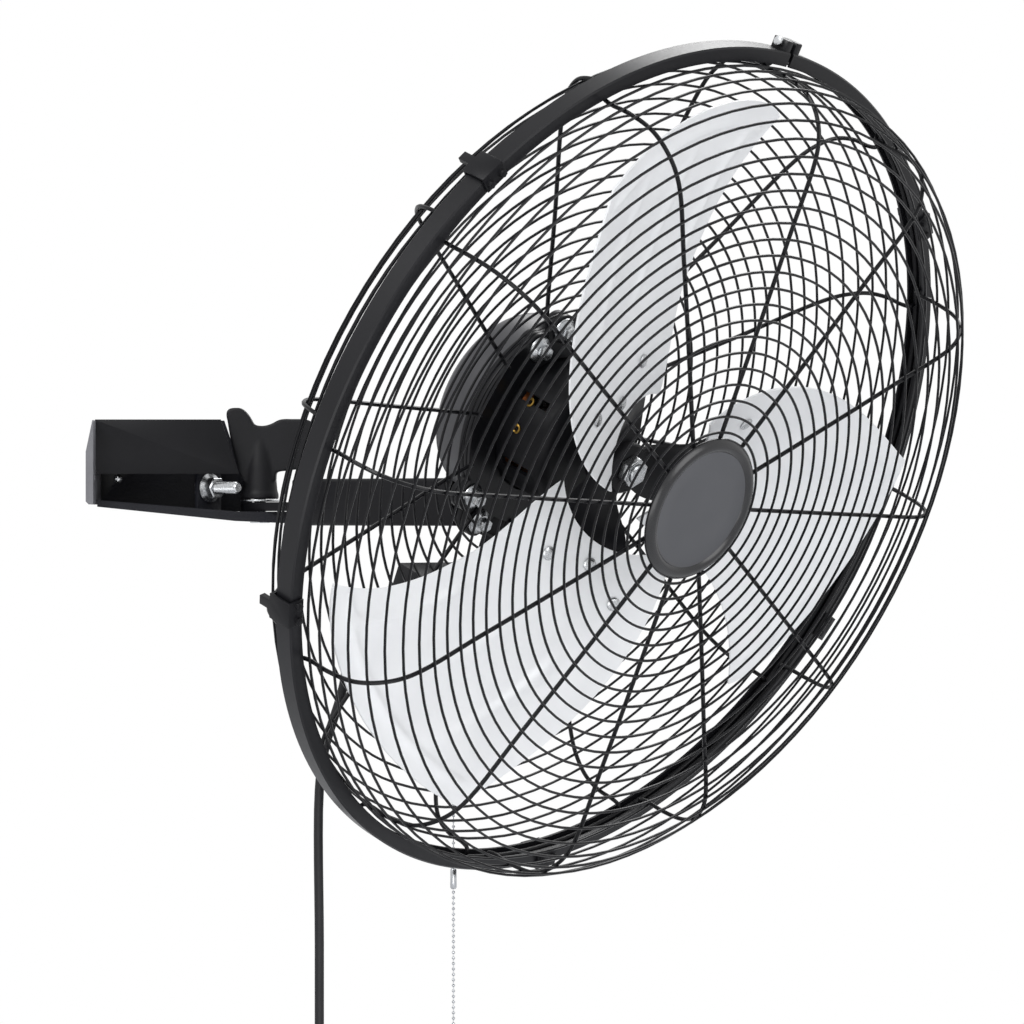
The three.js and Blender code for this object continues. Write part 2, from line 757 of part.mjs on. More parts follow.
const boxFront = yokeBack - gap;
const boxBack = boxFront - boxDepth;
const boxTop = -boxTopDown;
const boxBottom = boxTop - boxHeight;
const down = new THREE.Vector3(Math.sin(rad(tiltAngle)), 0, -Math.cos(rad(tiltAngle)));
const chainMouth = new THREE.Vector3(-chainBack, 0, boxBottom);
const glandLevel = (boxTop + boxBottom) / 2;
const glandX = (boxFront + boxBack) / 2;

function switchBox() {
  const shell = box(boxBack, boxFront, -boxLeft, boxRight, boxBottom, boxTop);
  const hollow = box(boxBack + boxWall, boxFront + 1, -boxLeft + boxWall, boxRight - boxWall,
    boxBottom + boxWall, boxTop - boxWall);
  const mouth = bar('z', chainBoreRadius + 1, -chainInside, 6).rotateY(rad(-tiltAngle));
  mouth.translate(chainMouth.x, chainMouth.y, chainMouth.z);
  const inlet = bar('y', cordRadius, -boxLeft - 1, -boxLeft + boxWall + 1).translate(glandX, 0, glandLevel);
  return cut(shell, [hollow, mouth, inlet]);
}

function pullSwitch() {
  const y0 = -switchSize / 2;
  const body = box(boxBack + boxWall + gap, boxFront - gap, y0, boxRight - boxWall - gap,
    boxBottom + boxWall + gap, boxBottom + boxWall + gap + switchSize);
  const bore = bar('z', chainBoreRadius, -20, chainInside + 3).rotateY(rad(-tiltAngle));
  return cut(body, [bore.translate(chainMouth.x, chainMouth.y, chainMouth.z)]);
}

function capacitor() {
  const end = -boxLeft + boxWall + 3;
  return bar('y', capacitorRadius, end, end + capacitorLength, 20).translate(glandX, 0, glandLevel);
}

function strainRelief() {
  const from = -boxLeft - gap;
  const tip = from - glandLength;
  const profile = [
    [tip, 0], [tip, cordRadius + 1.2], [from - 3, glandRadius], [from - 3, glandRadius + 1.8],
    [from, glandRadius + 1.8], [from, 0],
  ];
  const geometry = turned(profile, 16).rotateZ(Math.PI / 2);
  return geometry.translate(glandX, 0, glandLevel);
}

add(head, 'switch_box', switchBox(), plasticBlack);
add(head, 'pull_switch', pullSwitch(), plasticBlack);
add(head, 'capacitor', capacitor(), plasticBlack);
add(head, 'strain_relief', strainRelief(), plasticBlack);

// ---- Fan wheel ----

// Angles run clockwise from straight up, seen from in front.
function trailing(radius) {
  const share = Math.max(0, (bladeTip - radius) / (bladeTip - bladeRoot));
  return -34 - 58 * share ** 1.35;
}

function leading(radius) {
  const waist = bladeRoot + bladeWaistShare * (bladeTip - bladeRoot);
  const reach = radius > waist ? (radius - waist) / (bladeTip - waist) : (waist - radius) / (waist - bladeRoot);
  return 2 + (radius > waist ? 10 : 16) * reach * reach;
}

function polar(radius, angle, x) {
  return new THREE.Vector3(x, radius * Math.sin(rad(angle)), radius * Math.cos(rad(angle)));
}

function bladeX(radius, angle) {
  const share = (angle - trailing(radius)) / (leading(radius) - trailing(radius));
  const inner = Math.min(1, Math.max(0, share));
  const lift = bladeFront * (1 - inner - 0.28 * inner * (1 - inner));
  return lift - (share > 1 ? (share - 1) * 8 : 0) + (share < 0 ? -share * 8 : 0);
}

// A curved sheet: place(u, v) gives a point of its middle surface, u and v from 0 to 1.
function sheet(place, across, along, thick) {
  const geometry = new THREE.BoxGeometry(1, 1, 1, across, along, 1);
  const position = geometry.attributes.position;
  const step = 0.01;
  for (let i = 0; i < position.count; i += 1) {
    const u = position.getX(i) + 0.5;
    const v = position.getY(i) + 0.5;
    const here = place(u, v);
    const alongU = place(Math.min(1, u + step), v).sub(place(Math.max(0, u - step), v));
    const alongV = place(u, Math.min(1, v + step)).sub(place(u, Math.max(0, v - step)));
    const normal = alongU.cross(alongV).normalize();
    here.addScaledVector(normal, position.getZ(i) * thick);
    position.setXYZ(i, here.x, here.y, here.z);
  }
  return geometry;
}

function bladePoint(u, v) {
  const tip = bladeTip - bladeTipDrop * (1 - u) ** 2 - bladeTipRound * u ** 10;
  const radius = bladeRoot + (tip - bladeRoot) * v;
  const angle = trailing(radius) + (leading(radius) - trailing(radius)) * u;
  return polar(radius, angle, bladeX(radius, angle));
}

const sheetOffset = (bladeThick + armSheet) / 2 + sheetClear;
const rivetFront = bladeThick / 2 + rivetGap;
const rivetBack = -sheetOffset - armSheet / 2 - rivetGap;
const rivetRoom = 9;

// A spider arm lies behind the blade's root and narrows to the hub.
function armPoint(u, v) {
  const inner = hubRadius - 4;
  const tip = armTip - armTipCrown * (2 * u - 1) ** 2;
  const radius = inner + (tip - inner) * v;
  const wide = 26 * Math.sin(Math.PI * Math.min(1, 0.18 + 0.62 * v)) + 34 * (1 - v) ** 3;
  const angle = -38 + 14 * (1 - v) + wide * (2 * u - 1);
  const rise = THREE.MathUtils.smoothstep(radius, hubRadius + 2, bladeRoot - 2);
  const surface = bladeX(Math.max(radius, bladeRoot), angle) - sheetOffset - armDish * (1 - v);
  return polar(radius, angle, hubPlane + (surface - hubPlane) * rise);
}

function rivetFrame(radius, angle) {
  const step = 1;
  const here = polar(radius, angle, bladeX(radius, angle));
  const outward = polar(radius + step, angle, bladeX(radius + step, angle)).sub(here);
  const around = polar(radius, angle + step, bladeX(radius, angle + step)).sub(here);
  const normal = outward.cross(around).normalize();
  if (normal.x < 0) normal.negate();
  const spin = new THREE.Quaternion().setFromUnitVectors(new THREE.Vector3(1, 0, 0), normal);
  return new THREE.Matrix4().compose(here, spin, new THREE.Vector3(1, 1, 1));
}

// The hole for each rivet, with a flat seat around it from one place to another along the rivet.
function rivetHoles(seatFrom, seatTo) {
  return rivetSpots.flatMap(([radius, angle]) => [
    bar('x', rivetRadius + holeGap, -rivetRoom, rivetRoom, hexSides),
    bar('x', rivetHeadRadius + gap, seatFrom, seatTo, boltSteps),
  ].map((tool) => tool.applyMatrix4(rivetFrame(radius, angle))));
}

function rivet(radius, angle) {
  const shank = bar('x', rivetRadius - holeGap, rivetBack - weld, rivetFront + weld, hexSides);
  const headPiece = turned([
    [rivetFront, 0], [rivetFront, rivetHeadRadius], [rivetFront + rivetHeadHeight, rivetHeadRadius * 0.6],
    [rivetFront + rivetHeadHeight, 0],
  ], boltSteps);
  const tail = bar('x', rivetHeadRadius * 0.85, rivetBack - rivetHeadHeight, rivetBack, boltSteps);
  return join([shank, headPiece, tail]).applyMatrix4(rivetFrame(radius, angle));
}

function spider() {
  const boss = bar('x', hubRadius, -hubBack, hubFront, 28);
  const arms = Array.from({ length: bladeCount }, (_, i) => {
    const flat = sheet(armPoint, 3, 4, armSheet);
    return cut(flat, rivetHoles(-rivetRoom, rivetBack + gap)).rotateX(-i * turn / bladeCount);
  });
  return cut(join([boss, ...arms]), [bar('x', shaftRadius + gap, -hubBack - 1, hubFront + 1, 20)]);
}

function shaftNut() {
  const from = hubFront + gap;
  const hex = bar('x', shaftNutRadius, from, from + shaftNutHeight, hexSides);
  return cut(hex, [bar('x', shaftRadius + gap, from - 1, from + shaftNutHeight + 1, 20)]);
}

const wheel = new THREE.Group();
head.add(wheel);
wheel.rotation.x = rad(-bladePhase);
add(wheel, 'hub_spider', spider(), steelBlack);
add(wheel, 'shaft_nut', shaftNut(), zinc);
for (let i = 0; i < bladeCount; i += 1) {
  const spin = -i * turn / bladeCount;
  const blade = cut(sheet(bladePoint, 6, 5, bladeThick), rivetHoles(rivetFront - gap, rivetRoom));
  add(wheel, `blade_${i + 1}`, blade.rotateX(spin), aluminium);
  rivetSpots.forEach(([radius, angle], k) => {
    add(wheel, `blade_${i + 1}_rivet_${k + 1}`, rivet(radius, angle).rotateX(spin), zinc);
  });
}

// ---- Cage ----

const capSeat = frontDepth + 2;
const plateReach = 12;
const across = (from, to, share) => from + share * (to - from);
const ribLand = guardPlateFront + ribWire - weld;
const frontOutline = [
  [rimOffset, rimRadius], [rimOffset + 0.4, bandLip - 1.6], [bandHalf + 1, sideRadius + 0.2],
  [25, sideRadius], [frontDepth - 22, sideRadius - 4], [frontDepth - 9, frontKnee + 15.5],
  [frontDepth - 1.2, frontKnee - 1], [frontDepth + frontCrown / 2, across(capRim, frontKnee, frontOuterShare)],
  [frontDepth + frontCrown, across(capRim, frontKnee, frontInnerShare)], [capSeat, capRim - 4],
];
const rearOutline = [
  [-rimOffset, rimRadius], [-rimOffset - 0.4, bandLip - 1.6], [-bandHalf - 1, sideRadius + 0.2],
  [-rearShoulder + 8, sideRadius - 0.4], [-rearShoulder - 4, rearKnee + 12], [-rearKneeDepth, rearKnee],
  [-rearKneeDepth - 5, rearKnee - 16], [-rearKneeDepth - 13, across(flangeRadius, rearKnee, rearConeShare)],
  [ribLand, flangeRadius + plateReach],
  [ribLand, flangeRadius - 2],
];
const frontBends = [0, 0.02, 0.045, 0.16, 0.27, 0.5, 1];
const rearBends = [0, 0.02, 0.045, 0.17, 0.34, 0.62, 0.93, 1];

// A rib's middle line as straight stretches between bends, along a smooth outline from rim to hub.
class RibLine extends THREE.Curve {
  constructor(outline, bends) {
    super();
    const smooth = new THREE.CatmullRomCurve3(outline.map(([x, radius]) => new THREE.Vector3(x, 0, radius)));
    this.bends = bends.map((share) => smooth.getPointAt(share));
  }

  getPoint(t, target = new THREE.Vector3()) {
    const last = this.bends.length - 1;
    const k = Math.min(last - 1, Math.floor(t * last));
    return target.lerpVectors(this.bends[k], this.bends[k + 1], t * last - k);
  }

  getPointAt(t, target) {
    return this.getPoint(t, target);
  }

  getTangentAt(t, target) {
    return this.getTangent(t, target);
  }
}

const frontRib = new RibLine(frontOutline, frontBends);
const rearRib = new RibLine(rearOutline, rearBends);

// A closed wire ring whose flats lie at the given radius.
function hoop(x, radius, wireRadius, steps, sides = 4) {
  const geometry = new THREE.TorusGeometry(radius / Math.cos(Math.PI / steps), wireRadius, sides, steps);
  return geometry.rotateZ(Math.PI / steps).rotateY(Math.PI / 2).translate(x, 0, 0);
}

// Rings on the outside of the ribs, in the middle of the straight stretches next to the rim.
function ringsOn(rib, side, count) {
  return rib.bends.slice(2, 2 + count).map((start, i) => {
    const end = rib.bends[i + 3];
    const along = end.clone().sub(start).normalize();
    const middle = start.clone().lerp(end, 0.5);
    middle.addScaledVector(new THREE.Vector3(-along.z, 0, along.x), side * (ribWire + ringWire - weld));
    return hoop(middle.x, middle.z, ringWire, hoopSteps, 3);
  });
}

function ribsOn(rib) {
  return Array.from({ length: ribCount }, (_, i) =>
    wire(rib, ribWire, rib.bends.length - 1, 4).rotateX(-(i / ribCount) * turn));
}

function frontGuard() {
  const rim = hoop(rimOffset, rimRadius, rimWire, rimSteps);
  const inner = hoop(capSeat, capRim - 4, ribWire, hoopSteps);
  const cage = join([inner, ...ribsOn(frontRib), ...ringsOn(frontRib, 1, ringCount)]);
  return join([cage.rotateX(rad(-frontPhase)), rim]);
}

function rearGuard() {
  const rim = hoop(-rimOffset, rimRadius, rimWire, rimSteps);
  const wires = join([...ribsOn(rearRib), ...ringsOn(rearRib, -1, ringCount)]).rotateX(rad(-rearPhase));
  const room = boltSpots.map(([y, z]) =>
    bar('x', domeRadius + 2 * gap, guardPlateFront - 1, guardPlateFront + domeHeight + boltHexHeight, boltSteps)
      .translate(0, y, z));
  const plate = lobedPlate(guardPlateBack, guardPlateFront, plateBore);
  return join([cut(wires, room), rim, plate]);
}

function clampBand() {
  const inner = bandRadius - bandWall;
  const inHalf = bandHalf - bandWall;
  const channel = turned(closed([
    [-bandHalf, bandLip], [-bandHalf, bandRadius], [bandHalf, bandRadius], [bandHalf, bandLip],
    [inHalf, bandLip], [inHalf, inner], [-inHalf, inner], [-inHalf, bandLip],
  ].map(([x, radius]) => [x, radius / Math.cos(Math.PI / rimSteps)])), rimSteps).rotateX(Math.PI / rimSteps);
  const half = bandGap / 2;
  const slot = box(-bandHalf - 1, bandHalf + 1, -half, half, bandLip - 5, bandRadius + 5);
  const lugs = [-1, 1].map((side) => {
    const y0 = side > 0 ? half : -half - bandLug;
    return box(-bandHalf + 1, bandHalf - 1, y0, y0 + bandLug, bandRadius - 1.2, bandRadius + bandLugHeight);
  });
  const screwLevel = bandRadius + bandLugHeight * clampScrewShare;
  const hole = bar('y', clampScrewRadius + holeGap, -20, 20).translate(0, 0, screwLevel);
  const turnBack = (piece) => piece.rotateX(rad(-clampAngle));
  return cut(join([cut(channel, [turnBack(slot)]), ...lugs.map(turnBack)]), [turnBack(hole)]);
}

function clampScrew() {
  const under = -bandGap / 2 - bandLug - gap;
  const headPiece = bar('y', clampScrewRadius * 2, under - 3, under, 12);
  const shank = bar('y', clampScrewRadius, under - weld, bandGap / 2 + bandLug + 5, 10);
  const level = bandRadius + bandLugHeight * clampScrewShare;
  return join([headPiece, shank]).translate(0, 0, level).rotateX(rad(-clampAngle));
}

// A clip that straddles the band, with two round studs and a hook toward the back.
function guardClip(angle) {
  const half = clipWidth / 2;
  const inX = bandHalf + gap;
  const outX = inX + clipThick;
  const floor = bandRadius / Math.cos(Math.PI / rimSteps) + gap;
  const roof = floor + clipThick;
  const foot = bandLip + 0.6;
  const back = box(-outX, outX, -half, half, floor, roof);
  const flanges = [box(inX, outX, -half, half, foot, roof), box(-outX, -inX, -half, half, foot, roof)];
  const hook = box(-outX - 9, -outX + weld, -3, 3, roof - 4, roof);
  const studs = [-1, 1].map((side) => bar('x', 2.6, outX - weld, outX + 2.4, 6).translate(0, side * 5, foot + 4.4));
  return join([back, ...flanges, hook, ...studs]).rotateX(rad(-angle));
}

function frontCap() {
  const back = capSeat + ribWire + gap;
  const crest = back + capThick;
  const dish = crest - capDish;
  return turned([
    [back, 0], [back, capRadius - 1.2], [back + 1.4, capRadius], [crest - 1.6, capRim + 1.6], [crest, capRim],
    [crest, capRim - 2], [dish, capRecess], [dish + 0.4, 0],
  ], capSteps);
}

add(head, 'rear_guard', rearGuard(), wireBlack);
add(head, 'front_guard', frontGuard(), wireBlack);
add(head, 'clamp_band', clampBand(), steelBlack);
add(head, 'clamp_screw', clampScrew(), zinc);
clipAngles.forEach((angle, i) => add(head, `guard_clip_${i + 1}`, guardClip(angle), steelBlack));
add(head, 'front_cap', frontCap(), plasticBlack);

// ---- Pieces that hang straight down, in the wall's frame ----

const hanging = new THREE.Group();
parts.add(hanging);

function fromHead(x, y, z) {
  return new THREE.Vector3(x, y, z).applyMatrix4(head.matrixWorld);
}

function pullChain() {
  const top = fromHead(chainMouth.x, chainMouth.y, chainMouth.z);
  const rod = bar('z', chainRadius, -chainLength, chainInside - 3, 6);
  const eyelet = new THREE.TorusGeometry(eyeletRadius, 0.9, 4, 8);
  eyelet.rotateX(Math.PI / 2).translate(0, 0, -eyeletDrop);
  const profile = [[0, 0], [0, pendantRadius * 0.5], [6, pendantRadius * 0.8], [pendantLength - 1, pendantRadius],
    [pendantLength, pendantRadius - 1], [pendantLength, 0]];
  const pendant = turned(profile, 10).rotateY(Math.PI / 2).translate(0, 0, -chainLength + weld);
  return join([rod, eyelet, pendant]).translate(top.x, top.y, top.z);
}

const hangTop = new THREE.Vector3(cordHangX, cordHangY, cordHangEnd);
const glandTip = fromHead(glandX, -boxLeft - gap - glandLength - gap, glandLevel);

// The lead turns from the gland's heading to straight down.
function cordBend(share) {
  const angle = share * Math.PI / 2;
  const aside = glandLength + 2 * gap + cordStraight + cordBendRadius * Math.sin(angle);
  const point = fromHead(glandX, -boxLeft - aside, glandLevel);
  point.z -= cordBendRadius * (1 - Math.cos(angle));
  return point;
}

function powerCord() {
  const route = new THREE.CatmullRomCurve3([
    glandTip, cordBend(0), cordBend(1 / 3), cordBend(2 / 3), cordBend(1),
    new THREE.Vector3(cordSwayX, cordHangY, cordSwayLevel),
    new THREE.Vector3(cordHangX + cordNearPlumb, cordHangY, cordPlumbLevel + cordBendRadius),
    new THREE.Vector3(cordHangX, cordHangY, cordPlumbLevel),
    new THREE.Vector3(cordHangX, cordHangY, (cordPlumbLevel + cordHangEnd) / 2),
    new THREE.Vector3(cordHangX, cordHangY, cordHangEnd + 20),
    hangTop,
  ], false, 'centripetal');
  return wire(route, cordRadius, 26, 8);
}

// The coil: turns that spiral in and out, layer on layer, hanging flat like a ring.
const coilTurns = coilLayers * coilTurnsPerLayer;
const coilStart = cordHangEnd - gap;
const coilCentre = new THREE.Vector3(cordHangX + coilRadius, cordHangY, coilStart - 2 * cordRadius);

function coilPoint(turns) {
  const angle = Math.PI + turns * turn;
  const layer = Math.floor(turns / coilTurnsPerLayer);
  const within = turns - layer * coilTurnsPerLayer;
  const inward = layer % 2 === 0 ? within : coilTurnsPerLayer - within;
  const radius = coilRadius - coilPitch * inward;
  let climbed = 0;
  for (let k = 1; k < coilLayers; k += 1) {
    climbed += THREE.MathUtils.smoothstep(turns, k * coilTurnsPerLayer - 0.25, k * coilTurnsPerLayer + 0.25);
  }
  return new THREE.Vector3(
    coilCentre.x + radius * Math.cos(angle),
    coilCentre.y + climbed * coilPitch,
    coilCentre.z + radius * Math.sin(angle),
  );
}

class CoilCurve extends THREE.Curve {
  getPoint(t, target = new THREE.Vector3()) {
    const lead = 2 * cordRadius;
    const wound = coilTurns * turn * (coilRadius - coilPitch * coilTurnsPerLayer / 2);
    const total = lead + wound + coilTail;
    const along = t * total;
    const first = coilPoint(0);
    const last = coilPoint(coilTurns);
    if (along < lead) return target.set(first.x, first.y, first.z + lead - along);
    if (along > lead + wound) return target.set(last.x, last.y, last.z - (along - lead - wound));
    return target.copy(coilPoint(((along - lead) / wound) * coilTurns));
  }
}

const coilSteps = Math.round(coilTurns * 18);
const gapSamples = 48;

function coilLeastGap() {
  const points = Array.from({ length: coilTurns * gapSamples + 1 }, (_, i) => coilPoint(i / gapSamples));
  let least = Infinity;
  points.forEach((a, i) => points.slice(i + gapSamples / 2).forEach((b) => {
    least = Math.min(least, a.distanceTo(b) - 2 * cordRadius);
  }));
  return least;
}

function cordCoil() {
  return wire(new CoilCurve(), cordRadius, coilSteps + 4, 5);
}

function cordTie() {
  const inner = coilRadius - coilPitch * coilTurnsPerLayer - cordRadius - gap;
  const outer = coilRadius + cordRadius + gap;
  const nearY = -cordRadius - gap;
  const farY = coilPitch * (coilLayers - 1) + cordRadius + gap;
  const half = tieWidth / 2;
  const band = box(inner - tieThick, outer + tieThick, nearY - tieThick, farY + tieThick, -half, half);
  const hollow = box(inner, outer, nearY, farY, -half - 1, half + 1);
  return cut(band, [hollow]).translate(coilCentre.x, coilCentre.y, coilCentre.z);
}

const plugTop = new THREE.Vector3(
  cordHangX, cordHangY + coilPitch * (coilLayers - 1), coilCentre.z - coilTail - gap,
);

function plugBody() {
  const neck = new THREE.CylinderGeometry(cordRadius + 0.8, cordRadius + 3, plugNeck, 16)
    .rotateX(Math.PI / 2).translate(0, 0, -plugNeck / 2);
  const shape = roundedRect(-plugDepth / 2, plugDepth / 2, -plugWidth / 2, plugWidth / 2, 3);
  const body = slabX(shape, plugNeck - 1, plugNeck + plugLength, 3).rotateY(Math.PI / 2);
  return join([neck, body]).translate(plugTop.x, plugTop.y, plugTop.z);
}

function plugPins() {
  const faceTop = -plugNeck - plugLength - gap;
  const half = plugWidth / 2 - 1;
  const face = box(-half, half, -plugDepth / 2 + 1, plugDepth / 2 - 1, faceTop - 2, faceTop);
  const pins = [-1, 1].map((side) => {
    const middle = side * pinSpan / 2;
    return box(middle - pinWidth / 2, middle + pinWidth / 2, -pinDepth / 2, pinDepth / 2,
      faceTop - 2 - pinLength, faceTop - 1);
  });
  return join([face, ...pins]).translate(plugTop.x, plugTop.y, plugTop.z);
}

add(hanging, 'pull_chain', pullChain(), zinc);
add(hanging, 'power_cord', powerCord(), plasticBlack);
add(hanging, 'cord_coil', cordCoil(), plasticBlack);
add(hanging, 'cord_tie', cordTie(), plasticBlack);
add(hanging, 'plug_body', plugBody(), plasticBlack);
add(hanging, 'plug_pins', plugPins(), zinc);

console.log('least gap between turns of the coil, mm:', coilLeastGap().toFixed(2));

export default parts;
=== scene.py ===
import json
import math

import bmesh
import bpy
from mathutils import Matrix, Vector

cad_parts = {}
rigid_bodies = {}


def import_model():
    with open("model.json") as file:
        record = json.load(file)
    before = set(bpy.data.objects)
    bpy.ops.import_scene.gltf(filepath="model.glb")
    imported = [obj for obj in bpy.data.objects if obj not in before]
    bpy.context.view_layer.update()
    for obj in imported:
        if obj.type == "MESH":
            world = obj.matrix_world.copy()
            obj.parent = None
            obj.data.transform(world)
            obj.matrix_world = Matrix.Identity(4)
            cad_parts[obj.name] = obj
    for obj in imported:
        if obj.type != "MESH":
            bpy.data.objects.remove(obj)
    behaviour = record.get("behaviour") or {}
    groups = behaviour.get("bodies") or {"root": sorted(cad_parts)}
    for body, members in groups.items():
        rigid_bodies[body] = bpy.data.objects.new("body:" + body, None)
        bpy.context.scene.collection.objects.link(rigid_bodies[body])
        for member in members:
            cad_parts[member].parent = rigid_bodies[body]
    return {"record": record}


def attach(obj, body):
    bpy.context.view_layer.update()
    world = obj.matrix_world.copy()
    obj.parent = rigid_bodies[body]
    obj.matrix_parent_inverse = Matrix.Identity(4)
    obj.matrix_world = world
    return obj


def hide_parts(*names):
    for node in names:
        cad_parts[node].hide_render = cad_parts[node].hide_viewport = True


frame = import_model()
scene = bpy.context.scene
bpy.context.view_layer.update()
print("frame loaded")

mm = 0.001
turn = math.tau

# camera: level, square to the wall's normal, as in the photograph

cameraView = {"x": 282.9, "y": -3359.9, "z": -33, "lens": 175.8, "sensor": 36}

cameraData = bpy.data.cameras.new("camera")
cameraData.lens = cameraView["lens"]
cameraData.sensor_width = cameraView["sensor"]
cameraData.clip_end = 50
camera = bpy.data.objects.new("camera", cameraData)
camera.location = Vector((cameraView["x"], cameraView["y"], cameraView["z"])) * mm
camera.rotation_euler = (math.pi / 2, 0, 0)
scene.collection.objects.link(camera)
scene.camera = camera

# the joint frames that the pieces are built in, in millimetres

frames = {
    "pivotOut": 113.6, "panAngle": -42, "tiltAngle": 23.2,
    "hingeOut": 203, "hingeLevel": -35, "hingeBack": 94, "hingeBelow": 75,
}


def placedHead():
    tilt = math.radians(frames["tiltAngle"])
    back, below = frames["hingeBack"], frames["hingeBelow"]
    x = frames["hingeOut"] + back * math.cos(tilt) + below * math.sin(tilt)
    z = frames["hingeLevel"] - back * math.sin(tilt) + below * math.cos(tilt)
    return Matrix.Translation((x, 0, z)) @ Matrix.Rotation(tilt, 4, "Y")


wallSpace = Matrix.Identity(4)
armSpace = Matrix.Translation((frames["pivotOut"], 0,
                               0)) @ Matrix.Rotation(math.radians(frames["panAngle"]), 4, "Z")
headSpace = armSpace @ placedHead()

# shapes: each is a list of points and a list of faces


def merge(*shapes):
    points, faces = [], []
    for shape in shapes:
        start = len(points)
        points += [Vector(p) for p in shape[0]]
        faces += [[i + start for i in face] for face in shape[1]]
    return points, faces


def moved(shape, matrix):
    return [matrix @ Vector(p) for p in shape[0]], shape[1]


def stitched(rings, closed):
    faces = []
    pairs = list(zip(rings, rings[1:])) + ([(rings[-1], rings[0])] if closed else [])
    for low, high in pairs:
        for i in range(len(low)):
            j = (i + 1) % len(low)
            corners = list(dict.fromkeys([low[i], low[j], high[j], high[i]]))
            if len(corners) > 2:
                faces.append(corners)
    return faces


def turned(outline, steps=72, closed=False):  # outline of (along, radius) swept about the X axis
    points, rings = [], []
    for along, radius in outline:
        start = len(points)
        if radius < 1e-6:
            points.append((along, 0, 0))
            rings.append([start] * steps)
            continue
        rings.append(list(range(start, start + steps)))
        for i in range(steps):
            angle = turn * i / steps
            points.append((along, radius * math.sin(angle), radius * math.cos(angle)))
    return points, stitched(rings, closed)


def tube(path, radius, sides=10):  # a round wire or cord that follows a path
    path = [Vector(p) for p in path]
    side = None
    points, rings = [], []
    for i, here in enumerate(path):
        heading = (path[min(i + 1, len(path) - 1)] - path[max(i - 1, 0)]).normalized()
        if side is None:
            side = heading.orthogonal().normalized()
        side = (side - heading * side.dot(heading)).normalized()
        up = heading.cross(side)
        rings.append(list(range(len(points), len(points) + sides)))
        for k in range(sides):
            angle = turn * k / sides
            points.append(here + side * radius * math.cos(angle) + up * radius * math.sin(angle))
    faces = stitched(rings, False) + [rings[0][::-1], rings[-1]]
    return points, faces


def slab(outline, low, high):  # a flat outline of (a, b) made thick from low to high, as (a, b, depth)
    count = len(outline)
    points = [(a, b, low) for a, b in outline] + [(a, b, high) for a, b in outline]
    faces = [[i, (i + 1) % count, (i + 1) % count + count, i + count] for i in range(count)]
    return points, faces + [list(range(count))[::-1], list(range(count, 2 * count))]


def block(x0, x1, y0, y1, z0, z1):
    return slab([(x0, y0), (x1, y0), (x1, y1), (x0, y1)], z0, z1)


def smoothPath(knots, steps=12):  # points along a centripetal curve through the knots
    knots = [Vector(k) for k in knots]
    knots = [knots[0] * 2 - knots[1]] + knots + [knots[-1] * 2 - knots[-2]]
    path = []
    for i in range(1, len(knots) - 2):
        p = knots[i - 1:i + 3]
        t = [0]
        for a, b in zip(p, p[1:]):
            t.append(t[-1] + max((b - a).length ** 0.5, 1e-4))
        for k in range(steps):
            s = t[1] + (t[2] - t[1]) * k / steps
            first = [p[j] * ((t[j + 1] - s) / (t[j + 1] - t[j])) + p[j + 1]
                     * ((s - t[j]) / (t[j + 1] - t[j]))
                     for j in range(3)]
            second = [first[j] * ((t[j + 2] - s) / (t[j + 2] - t[j])) + first[j + 1]
                      * ((s - t[j]) / (t[j + 2] - t[j]))
                      for j in range(2)]
            path.append(second[0] * ((t[2] - s) / (t[2] - t[1])) + second[1] * ((s - t[1]) / (t[2] - t[1])))
    return path + [knots[-2]]


def lengthOf(path):
    return sum((Vector(b) - Vector(a)).length for a, b in zip(path, path[1:]))


def atLength(path, want):  # the point and heading at a distance along a path
    for a, b in zip(path, path[1:]):
        step = (b - a).length
        if want <= step:
            return a.lerp(b, want / step), (b - a).normalized()
        want -= step
    return path[-1], (path[-1] - path[-2]).normalized()


# a mesh object from a shape in millimetres, on its body, standing for its CAD nodes
def piece(name, shape, space, body, finishes, replaced=(), soften=0, crease=38, bevelAngle=40):
    mesh = bpy.data.meshes.new(name)
    mesh.from_pydata([(space @ Vector(p)) * mm for p in shape[0]], [], shape[1])
    work = bmesh.new()
    work.from_mesh(mesh)
    bmesh.ops.recalc_face_normals(work, faces=work.faces)
    work.to_mesh(mesh)
    work.free()
    item = bpy.data.objects.new(name, mesh)
    scene.collection.objects.link(item)
    return dressed(item, body, finishes, replaced, soften, crease, bevelAngle)


def dressed(item, body, finishes, replaced, soften, crease, bevelAngle=40):
    if soften:
        edges = item.modifiers.new("edges", "BEVEL")
        edges.width = soften * mm
        edges.segments = 2
        edges.limit_method = "ANGLE"
        edges.angle_limit = math.radians(bevelAngle)
        applied(item)
    smoothed(item, crease)
    item.data.materials.clear()
    for finish in finishes:
        item.data.materials.append(finish)
    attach(item, body)
    if replaced:
        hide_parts(*replaced)
    return item


def applied(item):
    bpy.context.view_layer.update()
    built = bpy.data.meshes.new_from_object(item.evaluated_get(bpy.context.evaluated_depsgraph_get()))
    item.modifiers.clear()
    item.data = built


def smoothed(item, crease):
    item.data.polygons.foreach_set("use_smooth", [True] * len(item.data.polygons))
    item.data.set_sharp_from_angle(angle=math.radians(crease))


# a CAD piece again, its coplanar faces merged and its edges broken as a press or a mould leaves
# them
def softenedCopy(node, body, finish, soften=0.5, crease=38, bevelAngle=25):
    source = bpy.data.objects[node]
    mesh = source.data.copy()
    mesh.transform(source.matrix_world)
    work = bmesh.new()
    work.from_mesh(mesh)
    bmesh.ops.remove_doubles(work, verts=work.verts, dist=1e-6)
    bmesh.ops.dissolve_limit(work, angle_limit=math.radians(1), verts=work.verts, edges=work.edges)
    work.to_mesh(mesh)
    work.free()
    item = bpy.data.objects.new(node + "_dressed", mesh)
    scene.collection.objects.link(item)
    return dressed(item, body, [finish], [node], soften, crease, bevelAngle)


# finishes


